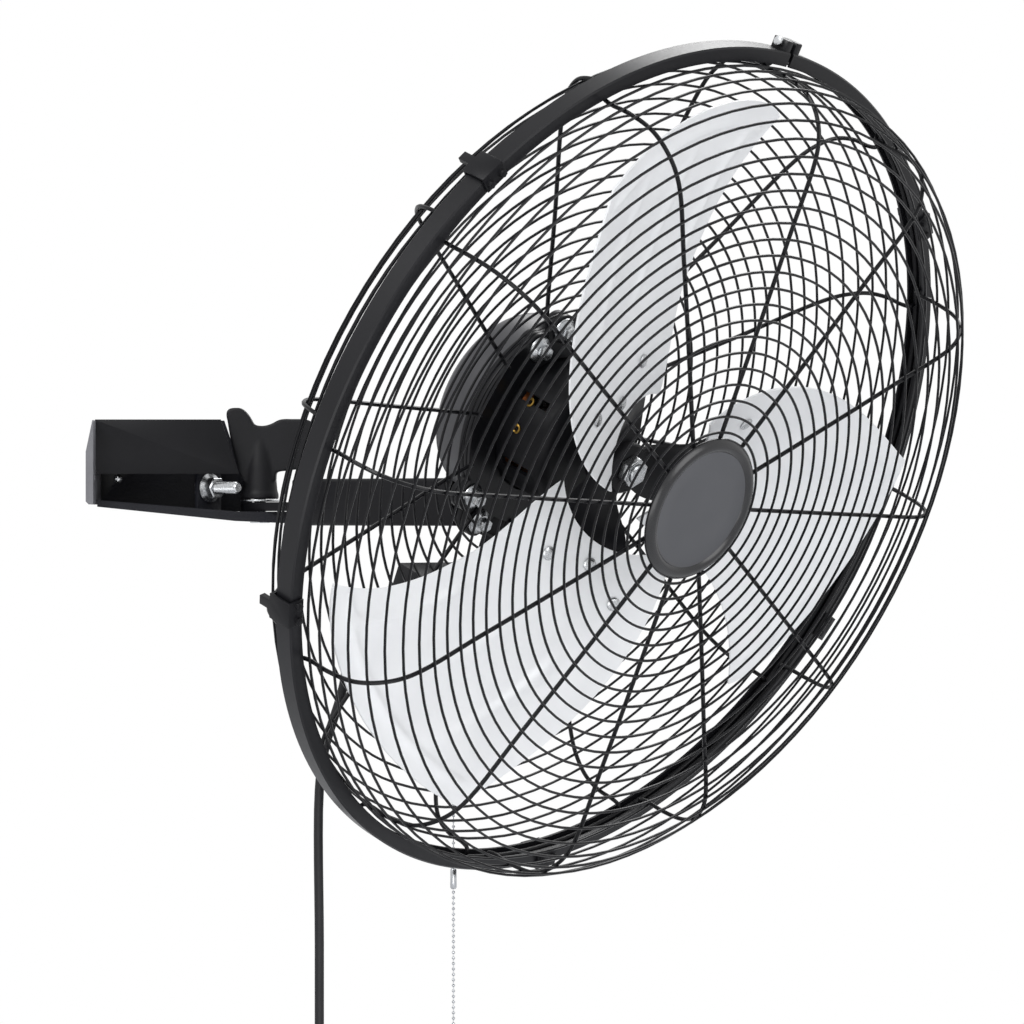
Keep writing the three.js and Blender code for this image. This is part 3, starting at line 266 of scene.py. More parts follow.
def hexColour(text):  # an sRGB hex value as a linear colour
    channels = [int(text[i:i + 2], 16) / 255 for i in (1, 3, 5)]
    return [c / 12.92 if c <= 0.04045 else ((c + 0.055) / 1.055) ** 2.4 for c in channels] + [1]


def addNode(tree, kind, settings=None, links=None):
    node = tree.nodes.new(kind)
    for name, value in (settings or {}).items():
        if isinstance(name, int) or name in node.inputs:
            node.inputs[name].default_value = value
        else:
            setattr(node, name, value)
    for name, source in (links or {}).items():
        tree.links.new(source, node.inputs[name])
    return node


def perMm(size):  # a texture scale for a pattern of this size in millimetres
    return 1 / (size * mm)


# a surface whose colour drifts over its patches and whose grain gives both the gloss and the bump
def newFinish(name, look):
    material = bpy.data.materials.new(name)
    material.use_nodes = True
    tree = material.node_tree
    shader = tree.nodes["Principled BSDF"]
    place = addNode(tree, "ShaderNodeTexCoord").outputs["Object"]
    stretch = addNode(tree, "ShaderNodeMapping", {"Scale": look.get("stretch", (1, 1, 1))},
                      {"Vector": place})
    patches = addNode(tree, "ShaderNodeTexNoise", {"Scale": perMm(look["patch"]), "Detail": 3},
                      {"Vector": place})
    grain = addNode(tree, "ShaderNodeTexNoise", {"Scale": perMm(look["grain"]), "Detail": 2},
                    {"Vector": stretch.outputs["Vector"]})
    colour = addNode(tree, "ShaderNodeMix", {"data_type": "RGBA"}, {0: patches.outputs["Fac"]})
    colour.inputs[6].default_value = hexColour(look["dark"])
    colour.inputs[7].default_value = hexColour(look["light"])
    gloss = addNode(tree, "ShaderNodeMapRange", {"To Min": look["rough"][0], "To Max": look["rough"][1]},
                    {"Value": grain.outputs["Fac"]})
    relief = addNode(tree, "ShaderNodeBump", {"Strength": look.get("reliefStrength", 0.5),
                                              "Distance": look["relief"] * mm},
                     {"Height": grain.outputs["Fac"]})
    tree.links.new(colour.outputs[2], shader.inputs["Base Color"])
    tree.links.new(gloss.outputs["Result"], shader.inputs["Roughness"])
    tree.links.new(relief.outputs["Normal"], shader.inputs["Normal"])
    shader.inputs["Metallic"].default_value = look.get("metal", 0)
    shader.inputs["Specular IOR Level"].default_value = look.get("shine", 0.5)
    return material


# powder coat, sprayed and baked: a black satin skin with a fine orange peel, drawn at 1.2 mm to show
powderCoat = newFinish("powderCoatedSteel", {
    "dark": "#101012", "light": "#17171a", "patch": 40, "grain": 1.2, "rough": (0.34, 0.46), "relief": 0.05,
    "shine": 0.14,
})

# a coarser textured powder coat on the folded shelf: small bumps that break up the light
texturedCoat = newFinish("texturedPowderCoat", {
    "dark": "#0d0d11", "light": "#191a21", "patch": 18, "grain": 1.4, "rough": (0.34, 0.58), "relief": 0.26,
    "reliefStrength": 0.9, "shine": 0.2,
})

# the same coat on the wall plate's cut edges, paler as a painted sheen where those edges face the light
paintedSheenCoat = newFinish("paintedSheenEdgeCoat", {
    "dark": "#5c5c60", "light": "#77777b", "patch": 12, "grain": 1.2, "rough": (0.4, 0.5), "relief": 0.05,
})

# dipped enamel on drawn wire: smooth and glossy, so that each wire carries one thin highlight
wireEnamel = newFinish("dippedWireEnamel", {
    "dark": "#0b0b0d", "light": "#131316", "patch": 25, "grain": 2.5, "rough": (0.26, 0.36), "relief": 0.02,
    "shine": 0.18,
})

# rolled strip with the same enamel, a little greyer where it turns to the light
bandEnamel = newFinish("rolledBandEnamel", {
    "dark": "#131315", "light": "#1c1c1f", "patch": 60, "grain": 3, "rough": (0.3, 0.4), "relief": 0.02,
    "shine": 0.2,
})

# glass filled nylon from a spark eroded mould: dull black with a soft sheen
mouldedNylon = newFinish("mouldedNylon", {
    "dark": "#121214", "light": "#1b1b1e", "patch": 15, "grain": 0.9, "rough": (0.42, 0.56), "relief": 0.04,
    "shine": 0.2,
})

# ABS, moulded and painted satin: the grey disc of the front cap
capSatin = newFinish("paintedAbsDisc", {
    "dark": "#393a3e", "light": "#434448", "patch": 30, "grain": 0.8, "rough": (0.36, 0.44), "relief": 0.01,
})

# ABS, polished mould: the darker rim of the cap
capGloss = newFinish("polishedAbsRim", {
    "dark": "#131315", "light": "#1a1a1d", "patch": 20, "grain": 2, "rough": (0.2, 0.28), "relief": 0.01,
})

# zinc plate on turned steel: bright, faintly yellow-blue, with drawn tool marks
zincPlate = newFinish("brightZincPlate", {
    "dark": "#b4b6b8", "light": "#d2d4d6", "patch": 4, "grain": 0.6, "rough": (0.2, 0.34), "relief": 0.02,
    "metal": 1,
})

# rolled aluminium sheet, pressed and brushed: pale, with long soft streaks across the rolling
rolledAluminium = newFinish("rolledAluminiumSheet", {
    "dark": "#e6e7e9", "light": "#f3f4f5", "patch": 30, "grain": 1.6, "stretch": (1, 1, 0.12),
    "rough": (0.34, 0.46), "relief": 0.012, "metal": 0.15,
})

# machine enamel on the motor's drum: dark grey satin
drumEnamel = newFinish("drumEnamel", {
    "dark": "#2b2b2e", "light": "#37373b", "patch": 35, "grain": 1.5, "rough": (0.34, 0.44), "relief": 0.03,
})

# lacquered copper wire, wound: warm, with the ridges of the turns at 1.2 mm
copperWinding = newFinish("lacqueredCopperWinding", {
    "dark": "#8a4a26", "light": "#b9703f", "patch": 6, "grain": 1.2, "stretch": (1, 1, 0.2),
    "rough": (0.28, 0.4), "relief": 0.2, "metal": 0.8,
})

# extruded PVC jacket: matt black, very slightly wavy along its length
cordJacket = newFinish("extrudedPvcJacket", {
    "dark": "#151517", "light": "#1f1f21", "patch": 12, "grain": 1.1, "rough": (0.42, 0.54), "relief": 0.03,
    "shine": 0.25,
})

# nickel plate on stamped balls
chainNickel = newFinish("nickelPlatedBalls", {
    "dark": "#9d9fa2", "light": "#c3c5c8", "patch": 2, "grain": 0.8, "rough": (0.16, 0.26), "relief": 0.01,
    "metal": 1,
})

# brass eyelets in the motor's bell
brassEyelet = newFinish("rolledBrassEyelet", {
    "dark": "#8f7034", "light": "#b8964e", "patch": 3, "grain": 0.6, "rough": (0.26, 0.4), "relief": 0.02,
    "metal": 1,
})

# phenolic and film: the blocks inside the switch box
mouldedPhenolic = newFinish("mouldedPhenolic", {
    "dark": "#17181a", "light": "#232427", "patch": 10, "grain": 0.7, "rough": (0.45, 0.6), "relief": 0.03,
})

slotFinishes = {
    "black_steel": powderCoat, "black_wire": wireEnamel, "dark_band": bandEnamel,
    "black_plastic": mouldedNylon,
    "cap_plastic": capGloss, "zinc_plate": zincPlate, "blade_aluminium": rolledAluminium,
    "motor_grey": drumEnamel, "copper": copperWinding, "cord_rubber": cordJacket,
    "chain_plate": chainNickel,
}
for entry in frame["record"]["subparts"]:
    carried = bpy.data.objects[entry["node"]]
    carried.data.materials.clear()
    carried.data.materials.append(slotFinishes[entry["material_slot"]])
for node in ("capacitor", "pull_switch"):
    bpy.data.objects[node].data.materials[0] = mouldedPhenolic
print("finishes made")

# mains lead: out of its gland, down behind the cage, then put away in a tied coil with its plug

lead = {
    "radius": 3, "boxLeft": 60, "glandX": -85.2, "glandLevel": -127, "glandLength": 22, "gap": 0.3,
    "straight": 4, "bend": 26, "hangX": 161.5, "hangY": -209, "hangEnd": -402, "swayX": 177, "sway": -141,
    "nearPlumb": 3.5, "plumb": -208, "coilRadius": 39, "coilPitch": 6.8, "coilLayers": 4, "perLayer": 1.75,
    "tail": 30,
}


def leadBend(share):
    angle = share * math.pi / 2
    aside = lead["glandLength"] + 2 * lead["gap"] + lead["straight"] + lead["bend"] * math.sin(angle)
    point = headSpace @ Vector((lead["glandX"], -lead["boxLeft"] - aside, lead["glandLevel"]))
    point.z -= lead["bend"] * (1 - math.cos(angle))
    return point


def eased(value, low, high):
    t = min(1, max(0, (value - low) / (high - low)))
    return t * t * (3 - 2 * t)


def coilPoint(turns):  # turns spiral in and out, layer on layer
    pitch, perLayer = lead["coilPitch"], lead["perLayer"]
    layer = math.floor(turns / perLayer)
    within = turns - layer * perLayer
    inward = within if layer % 2 == 0 else perLayer - within
    radius = lead["coilRadius"] - pitch * inward
    climbed = sum(eased(turns, k * perLayer - 0.25, k * perLayer + 0.25)
                  for k in range(1, lead["coilLayers"]))
    angle = math.pi + turns * turn
    top = lead["hangEnd"] - lead["gap"] - 2 * lead["radius"]
    return Vector((lead["hangX"] + lead["coilRadius"] + radius * math.cos(angle),
                   lead["hangY"] + climbed * pitch, top + radius * math.sin(angle)))


def leadPath():
    x, y = lead["hangX"], lead["hangY"]
    mouth = leadBend(0) + (leadBend(0) - headSpace @ Vector(
        (lead["glandX"], -lead["boxLeft"] - lead["glandLength"] - 2 * lead["gap"] - 2 * lead["straight"],
         lead["glandLevel"])))
    knots = [
        mouth, leadBend(0), leadBend(1 / 3), leadBend(2 / 3), leadBend(1),
        Vector((lead["swayX"], y, lead["sway"])),
        Vector((x + lead["nearPlumb"], y, lead["plumb"] + lead["bend"])),
        Vector((x, y, lead["plumb"])), Vector((x, y, (lead["plumb"] + lead["hangEnd"]) / 2)),
        Vector((x, y, lead["hangEnd"] + 20)), Vector((x, y, lead["hangEnd"])),
    ]
    path = smoothPath(knots, 6)
    turns = lead["coilLayers"] * lead["perLayer"]
    count = round(turns * 28)
    path += [coilPoint(turns * i / count) for i in range(count + 1)]
    end = path[-1]
    return path + [end - Vector((0, 0, lead["tail"] * k / 3)) for k in (1, 2, 3)]


cordPath = leadPath()
powerLead = piece("mains_lead", tube(cordPath, lead["radius"], 12), wallSpace, "head",
                  [cordJacket],
                  ["power_cord", "cord_coil"])
plugTop = cordPath[-1] - Vector((0, 0, lead["gap"]))


def plugShape():  # a moulded two pin plug: ribbed neck, then a body that flares to its face
    sections = [(0, 3.8, 3.8), (-2, 4.2, 4.2), (-4, 3.9, 3.9), (-6, 4.6, 4.6), (-8, 4.4, 4.4),
                (-10, 5.6, 5),
                (-13, 7.6, 5.8), (-18, 8.5, 6.5), (-30, 8.5, 6.5), (-33.4, 8.3, 6.3), (-34, 7.8, 5.8)]
    points, rings = [], []
    for z, wide, deep in sections:
        rings.append(list(range(len(points), len(points) + 40)))
        power = 0.5 if wide > 6 else 1
        for k in range(40):
            c, s = math.cos(turn * k / 40), math.sin(turn * k / 40)
            points.append((math.copysign(abs(c) ** power, c) * wide,
                           math.copysign(abs(s) ** power, s) * deep, z))
    return points, stitched(rings, False) + [rings[0][::-1], rings[-1]]


plugSpace = Matrix.Translation(plugTop)
plug = piece("moulded_plug", plugShape(), plugSpace, "head", [cordJacket], ["plug_body"],
             crease=50)
pins = softenedCopy("plug_pins", "head", zincPlate, 0.35)
tie = softenedCopy("cord_tie", "head", mouldedNylon, 0.4)


def glandShape():  # a tapered boot with grooves, its collar against the box
    start = -lead["boxLeft"] - lead["gap"]
    tip = start - lead["glandLength"]
    outline = [(tip, 0), (tip, 3.4), (tip + 0.8, 4.1)]
    for k in range(4):
        along = tip + 2 + k * 4
        radius = 4.2 + k * 0.35
        outline += [(along, radius), (along + 0.6, radius - 0.7), (along + 1.8, radius - 0.6),
                    (along + 2.4, radius + 0.1)]
    outline += [(start - 3.4, 5.5), (start - 3, 7.2), (start - 0.4, 7.2), (start, 6.9), (start, 0)]
    turnedShape = turned(outline, 48)
    return moved(turnedShape, Matrix.Rotation(math.pi / 2, 4, "Z"))


gland = piece("strain_boot", glandShape(), headSpace @ Matrix.Translation((lead["glandX"], 0,
                                                                           lead["glandLevel"])),
              "head", [mouldedNylon], ["strain_relief"])
print("lead, plug and tie made")

# cage: wire rings on bent ribs, front and rear, held by a band

cage = {
    "ribRadius": 1.4, "ringRadius": 0.9, "ribs": 12, "frontPhase": 2, "rearPhase": 5, "ringPitch": 10.6,
    "frontFirst": 11, "rearFirst": 14, "rimRadius": 275.2, "rimOffset": 2.75, "rimWire": 2.2,
    "sideRadius": 267.4,
    "frontDepth": 66, "frontKnee": 237, "rearShoulder": 30, "rearKnee": 250, "rearKneeDepth": 43,
    "capSeat": 68,
    "capEdge": 40, "plateFront": -65.8, "flangeRadius": 68, "bandLip": 271,
}
ribLand = cage["plateFront"] + cage["ribRadius"] - 0.5
frontKnots = [
    (cage["rimOffset"], cage["rimRadius"]), (cage["rimOffset"] + 0.4, cage["bandLip"] - 1.6),
    (8, cage["sideRadius"] + 0.2), (25, cage["sideRadius"]),
    (cage["frontDepth"] - 22, cage["sideRadius"] - 4),
    (cage["frontDepth"] - 9, cage["frontKnee"] + 15.5), (cage["frontDepth"] - 1.2, cage["frontKnee"] - 1),
    (cage["frontDepth"] + 0.6, 180), (cage["frontDepth"] + 1.6, 110), (cage["capSeat"], cage["capEdge"]),
]
rearKnots = [
    (-cage["rimOffset"], cage["rimRadius"]), (-cage["rimOffset"] - 0.4, cage["bandLip"] - 1.6),
    (-8, cage["sideRadius"] + 0.2), (-cage["rearShoulder"] + 8, cage["sideRadius"] - 0.4),
    (-cage["rearShoulder"] - 4, cage["rearKnee"] + 12), (-cage["rearKneeDepth"], cage["rearKnee"]),
    (-cage["rearKneeDepth"] - 5, cage["rearKnee"] - 16), (-cage["rearKneeDepth"] - 13, 160),
    (ribLand, cage["flangeRadius"] + 12), (ribLand, cage["flangeRadius"] - 2),
]


def hoop(along, radius, wireRadius, steps=96, sides=6):
    outline = [(along + wireRadius * math.cos(turn * k / sides),
                radius + wireRadius * math.sin(turn * k / sides))
               for k in range(sides)]
    return turned(outline, steps, True)


def guardShape(knots, phase, first, outward):
    path = smoothPath([(x, 0, radius) for x, radius in reversed(knots)], 7)
    spin = [Matrix.Rotation(-math.radians(phase) - turn * i / cage["ribs"], 4, "X")
            for i in range(cage["ribs"])]
    shapes = [moved(tube(path, cage["ribRadius"], 8), matrix) for matrix in spin]
    total = lengthOf(path)
    distance = first
    while distance < total - 6:
        point, heading = atLength(path, distance)
        normal = Vector((heading.z, 0, -heading.x)) * outward
        point = point + normal * (cage["ribRadius"] + cage["ringRadius"] * 0.8)
        shapes.append(hoop(point.x, point.z, cage["ringRadius"]))
        distance += cage["ringPitch"]
    return shapes


frontShapes = guardShape(frontKnots, cage["frontPhase"], cage["frontFirst"], 1)
frontShapes.append(hoop(cage["rimOffset"], cage["rimRadius"], cage["rimWire"], 128, 10))
frontShapes.append(hoop(cage["capSeat"], cage["capEdge"], cage["ribRadius"], 72, 8))
piece("front_wire_guard", merge(*frontShapes), headSpace, "head", [wireEnamel],
      ["front_guard"])

boltSpots = [(side * y, z) for y, z in ((31, 51), (13, 64), (37, -67), (50, -50)) for side in (-1, 1)]
plates = {"lobe": 10.5, "flange": 68, "bore": 46}


# the outline of a round plate with a lobe at each bolt, as a radius for each angle
def lobedRim(steps=180):
    rim = []
    for i in range(steps):
        angle = turn * i / steps
        heading = Vector((math.sin(angle), math.cos(angle)))
        reach = plates["flange"]
        for spot in boltSpots:
            centre = Vector(spot)
            along = heading.dot(centre)
            off = (centre - heading * along).length
            if along > 0 and off < plates["lobe"]:
                reach = max(reach, along + math.sqrt(plates["lobe"] ** 2 - off ** 2))
        rim.append((angle, reach))
    return rim


def lobedPlate(low, high, bore):
    points, rings = [], []
    for along, useRim in ((low, True), (high, True), (high, False), (low, False)):
        rings.append(list(range(len(points), len(points) + 180)))
        for angle, reach in lobedRim():
            radius = reach if useRim else bore
            points.append((along, radius * math.sin(angle), radius * math.cos(angle)))
    return points, stitched(rings, True)


rearShapes = guardShape(rearKnots, cage["rearPhase"], cage["rearFirst"], 1)
rearShapes.append(hoop(-cage["rimOffset"], cage["rimRadius"], cage["rimWire"], 128, 10))
rearShapes.append(lobedPlate(cage["plateFront"] - 2, cage["plateFront"], plates["bore"]))
piece("rear_wire_guard", merge(*rearShapes), headSpace, "head", [wireEnamel], ["rear_guard"])

band = {"radius": 280, "wall": 1.5, "half": 7, "lip": 271, "gap": 3, "lug": 6, "lugHeight": 7, "angle": 6,
        "steps": 240}


def bandShape():  # a rolled channel, open where its two lugs are drawn together
    outer, inner = band["radius"], band["radius"] - band["wall"]
    half, inHalf, lip = band["half"], band["half"] - band["wall"], band["lip"]
    outline = [(-half, lip), (-half, outer - 1), (-half + 1, outer), (half - 1, outer),
               (half, outer - 1), (half, lip),
               (inHalf, lip), (inHalf, inner), (-inHalf, inner), (-inHalf, lip)]
    opening = math.asin(band["gap"] / 2 / outer)
    points, rings = [], []
    for i in range(band["steps"] + 1):
        angle = opening + (turn - 2 * opening) * i / band["steps"]
        rings.append(list(range(len(points), len(points) + len(outline))))
        points += [(x, radius * math.sin(angle), radius * math.cos(angle)) for x, radius in outline]
    faces = stitched(rings, False) + [rings[0][::-1], rings[-1]]
    return points, faces


def lugShape():
    lugs = []
    for side in (-1, 1):
        near, far = band["gap"] / 2, band["gap"] / 2 + band["lug"]
        y0, y1 = (near, far) if side > 0 else (-far, -near)
        lugs.append(block(-6, 6, y0, y1, band["radius"] - 1.2, band["radius"] + band["lugHeight"]))
    return merge(*lugs)


bandSpace = headSpace @ Matrix.Rotation(-math.radians(band["angle"]), 4, "X")
piece("clamp_band_ring", bandShape(), bandSpace, "head", [bandEnamel], ["clamp_band"],
      crease=30)
piece("clamp_band_lugs", lugShape(), bandSpace, "head", [bandEnamel], (), 0.8)
softenedCopy("clamp_screw", "head", zincPlate, 0.3, 50, 45)
for i in range(1, 6):
    softenedCopy("guard_clip_" + str(i), "head", powderCoat, 0.35, 50)
print("cage made")

# front cap

cap = {"back": 69.7, "thick": 5, "radius": 47.5, "rim": 44, "recess": 38.5, "dish": 2.2}
crest = cap["back"] + cap["thick"]
floor = crest - cap["dish"]
rimOutline = [
    (cap["back"], 0), (cap["back"], cap["radius"] - 1.2), (cap["back"] + 0.5, cap["radius"] - 0.3),
    (cap["back"] + 1.4, cap["radius"]), (crest - 2.4, cap["rim"] + 2.6), (crest - 0.8, cap["rim"] + 1),
    (crest - 0.1, cap["rim"] - 0.6), (crest, cap["rim"] - 2), (crest - 0.3, cap["rim"] - 3.6),
    (floor + 0.2, cap["recess"] + 0.3),
]
discOutline = [(floor + 0.2, cap["recess"] + 0.3), (floor, cap["recess"] - 0.6),
               (floor + 0.1, cap["recess"] * 0.7),
               (floor + 0.3, cap["recess"] * 0.35), (floor + 0.4, 0)]
capPiece = piece("front_cap_moulding", merge(turned(rimOutline, 128), turned(discOutline, 128)),
                 headSpace, "head",
                 [capGloss, capSatin], ["front_cap"], crease=60)
rimCount = len(turned(rimOutline, 128)[1])
for face in capPiece.data.polygons:
    face.material_index = 0 if face.index < rimCount else 1
print("cap made")

# fan wheel: three pressed blades riveted to a spider

wheel = {
    "blades": 3, "tip": 248, "tipDrop": 12, "root": 50, "thick": 1.4, "front": 40, "waist": 126,
    "hubRadius": 17, "hubBack": 16, "hubFront": 8, "hubPlane": 2, "armTip": 96, "armSheet": 2.5,
    "sheetClear": 0.65,
    "rivets": [(77, -17), (64, -40), (83, -60)], "beadHeight": 2.2,
}
sheetOffset = (wheel["thick"] + wheel["armSheet"]) / 2 + wheel["sheetClear"]


def trailing(radius):
    share = max(0, (wheel["tip"] - radius) / (wheel["tip"] - wheel["root"]))
    return -34 - 58 * share ** 1.35


def leading(radius):
    waist = wheel["waist"]
    outer = radius > waist
    reach = (radius - waist) / (wheel["tip"] - waist) if outer else (waist - radius) / (waist
                                                                                        - wheel["root"])
    return 2 + (10 if outer else 16) * reach * reach


def polar(radius, angle, along):
    return Vector((along, radius * math.sin(math.radians(angle)), radius * math.cos(math.radians(angle))))


def bladeX(radius, angle):
    share = (angle - trailing(radius)) / (leading(radius) - trailing(radius))
    inner = min(1, max(0, share))
    lift = wheel["front"] * (1 - inner - 0.28 * inner * (1 - inner))
    return lift - (max(0, share - 1) + min(0, share)) * 8


def bladePoint(u, v):
    tip = wheel["tip"] - wheel["tipDrop"] * (1 - u) ** 2 - 8 * u ** 10
    radius = wheel["root"] + (tip - wheel["root"]) * v
    angle = trailing(radius) + (leading(radius) - trailing(radius)) * u
    return polar(radius, angle, bladeX(radius, angle))


def armPoint(u, v):
    inner = wheel["hubRadius"] - 4
    tip = wheel["armTip"] - 14 * (2 * u - 1) ** 2
    radius = inner + (tip - inner) * v
    wide = 26 * math.sin(math.pi * min(1, 0.18 + 0.62 * v)) + 34 * (1 - v) ** 3
    angle = -38 + 14 * (1 - v) + wide * (2 * u - 1)
    rise = eased(radius, wheel["hubRadius"] + 2, wheel["root"] - 2)
    surface = bladeX(max(radius, wheel["root"]), angle) - sheetOffset - 1.2 * (1 - v)
    return polar(radius, angle, wheel["hubPlane"] + (surface - wheel["hubPlane"]) * rise)


def ridge(value, centre, width):
    return math.exp(-((value - centre) / width) ** 2)


def beads(u, v):  # a pressed bead round the outer part of the blade, and two soft stiffening ribs along it
    inside = eased(u, 0.04, 0.1) * (1 - eased(u, 0.93, 0.98))
    rimBead = ridge(v, 0.92, 0.018) * inside
    edgeBead = ridge(u, 0.88, 0.025) * eased(v, 0.42, 0.52) * (1 - eased(v, 0.92, 0.95))
    ribs = (ridge(u, 0.3, 0.03) + ridge(u, 0.6, 0.03)) * eased(v, 0.34, 0.46) * (1 - eased(v, 0.8, 0.9))
    return wheel["beadHeight"] * min(1, rimBead + edgeBead + 0.7 * ribs)


def sheetShape(place, across, along, thick, relief=None):
    points, step = [], 0.004
    for side in (0.5, -0.5):
        for i in range(across + 1):
            for j in range(along + 1):
                u, v = i / across, j / along
                alongU = place(min(1, u + step), v) - place(max(0, u - step), v)
                alongV = place(u, min(1, v + step)) - place(u, max(0, v - step))
                normal = alongU.cross(alongV).normalized()
                if normal.x < 0:
                    normal.negate()
                lift = relief(u, v) if relief else 0
                points.append(place(u, v) + normal * (side * thick + lift))
    row, layer = along + 1, (across + 1) * (along + 1)
    faces = []
    for i in range(across):
        for j in range(along):
            a = i * row + j
            faces.append([a, a + 1, a + row + 1, a + row])
            faces.append([a + layer + k for k in (0, row, row + 1, 1)])
    edge = [j for j in range(row)] + [i * row + along for i in range(1, across + 1)]
    edge += [across * row + j for j in reversed(range(along))] + [i * row
                                                                  for i in reversed(range(1, across))]
    for a, b in zip(edge, edge[1:] + edge[:1]):
        faces.append([a, b, b + layer, a + layer])
    return points, faces


def rivetSpace(radius, angle):
    here = polar(radius, angle, bladeX(radius, angle))
    outward = polar(radius + 1, angle, bladeX(radius + 1, angle)) - here
    around = polar(radius, angle + 1, bladeX(radius, angle + 1)) - here
    normal = outward.cross(around).normalized()
    if normal.x < 0:
        normal.negate()
    return Matrix.Translation(here) @ Vector((1, 0, 0)).rotation_difference(normal).to_matrix().to_4x4()


def rivetShape():  # a round headed rivet, its tail set flat behind the arm
    front, back = wheel["thick"] / 2 + 0.6, -sheetOffset - wheel["armSheet"] / 2 - 0.6
    head = [(front, 0), (front, 4.4), (front + 0.4, 4.5), (front + 0.9, 3.9), (front + 1.3, 2.6),
            (front + 1.4, 0)]
    tail = [(back - 1.4, 0), (back - 1.4, 3.2), (back - 1, 3.9), (back, 3.9), (back, 0)]
    shank = [(back - 0.2, 0), (back - 0.2, 2.3), (front + 0.2, 2.3), (front + 0.2, 0)]
    return merge(turned(head, 32), turned(tail, 32), turned(shank, 20))


bladeShape = sheetShape(bladePoint, 90, 120, wheel["thick"], beads)
for i in range(wheel["blades"]):
    bladeSpace = headSpace @ Matrix.Rotation(-i * turn / wheel["blades"], 4, "X")
    node = "blade_" + str(i + 1)
    piece(node + "_sheet", bladeShape, bladeSpace, "rotor", [rolledAluminium], [node],
          crease=50)
    for k, (radius, angle) in enumerate(wheel["rivets"]):
        rivetNode = node + "_rivet_" + str(k + 1)
        piece(rivetNode + "_set", rivetShape(), bladeSpace @ rivetSpace(radius, angle), "rotor",
              [zincPlate], [rivetNode], crease=50)


def spiderShape():
    hub = [(-wheel["hubBack"], 6.3), (-wheel["hubBack"], 15.5), (-wheel["hubBack"] + 1.5, 17),
           (wheel["hubFront"] - 1.5, 17),
           (wheel["hubFront"], 15.5), (wheel["hubFront"], 6.3)]
    arm = sheetShape(armPoint, 28, 36, wheel["armSheet"])
    arms = [moved(arm, Matrix.Rotation(-i * turn / wheel["blades"], 4, "X"))
            for i in range(wheel["blades"])]
    return merge(turned(hub, 64, True), *arms)


piece("blade_spider", spiderShape(), headSpace, "rotor", [powderCoat], ["hub_spider"],
      crease=45)
softenedCopy("shaft_nut", "rotor", zincPlate, 0.5, 50, 30)
piece("motor_shaft", turned([(-105.2, 0), (-105.2, 5.4), (-104.6, 6), (16.2, 6), (17, 5.2), (17, 0)],
                            48), headSpace,
      "rotor", [zincPlate], ["shaft"])
print("fan wheel made")

# motor and its mounting

motor = {
    "back": 108, "split": 76, "radius": 62.3, "wall": 2.5, "bell": 44.5, "bellFront": 25.5,
    "flangeBack": -75.7,
    "flangeThick": 4, "seat": 20, "yokeBack": -71.4, "yokeThick": 3,
    "vents": 6, "ventBack": -61.1, "ventLength": 24, "ventWidth": 6,
}
back, inside = -motor["back"], motor["radius"] - motor["wall"]
shellFloor = back + motor["wall"]
rearOutline = [
    (back, 0), (back, motor["radius"] - 8), (back + 0.7, motor["radius"] - 5),
    (back + 2.4, motor["radius"] - 2.2),
    (back + 5, motor["radius"] - 0.5), (back + 8, motor["radius"]), (-motor["split"] - 2, motor["radius"]),
    (-motor["split"] - 1.4, motor["radius"] - 0.5), (-motor["split"], motor["radius"] - 0.5),
    (-motor["split"], inside), (shellFloor + 5, inside), (shellFloor, inside - 4),
    (shellFloor, motor["seat"]),
    (shellFloor + 10, motor["seat"]), (shellFloor + 10, 16.3), (shellFloor, 16.3), (shellFloor, 0),
]
piece("motor_drum", turned(rearOutline, 96), headSpace, "head", [drumEnamel],
      ["motor_rear_shell"])


def bellShape():
    end = -motor["bellFront"]
    inner = motor["bell"] - motor["wall"]
    floorX = end - motor["wall"]
    outline = [
        (motor["flangeBack"], motor["bell"]), (end - 7, motor["bell"]), (end - 4, motor["bell"] - 0.8),
        (end - 1.6, motor["bell"] - 3), (end - 0.4, motor["bell"] - 6), (end, motor["bell"] - 9), (end, 24),
        (end + 0.0, 12), (end, 7), (floorX, 7), (floorX, 16.3), (floorX - 10, 16.3), (floorX - 10, 20),
        (floorX, 20), (floorX, inner), (motor["flangeBack"], inner),
    ]
    return turned(outline, 96, True)


def cutBy(item, shape, space):
    mesh = bpy.data.meshes.new("tool")
    mesh.from_pydata([(space @ Vector(p)) * mm for p in shape[0]], [], shape[1])
    work = bmesh.new()
    work.from_mesh(mesh)
    bmesh.ops.recalc_face_normals(work, faces=work.faces)
    work.to_mesh(mesh)
    work.free()
    tool = bpy.data.objects.new("tool", mesh)
    scene.collection.objects.link(tool)
    step = item.modifiers.new("cut", "BOOLEAN")
    step.operation = "DIFFERENCE"
    step.solver = "EXACT"
    step.object = tool
    applied(item)
    bpy.data.objects.remove(tool)
    bpy.data.meshes.remove(mesh)


bell = piece("motor_bell", bellShape(), headSpace, "head", [powderCoat],
             ["motor_front_bell"])
vent = block(motor["ventBack"], motor["ventBack"] + motor["ventLength"], -motor["ventWidth"] / 2,
             motor["ventWidth"] / 2, motor["bell"] - 7, motor["bell"] + 3)
vents = [moved(vent, Matrix.Rotation(turn * i / motor["vents"], 4, "X")) for i in range(motor["vents"])]
cutBy(bell, merge(*vents), headSpace)
smoothed(bell, 38)
piece("bell_flange", lobedPlate(motor["flangeBack"], motor["flangeBack"] + motor["flangeThick"],
                                motor["bell"] - 1.5),
      headSpace, "head", [powderCoat], (), 0.5)


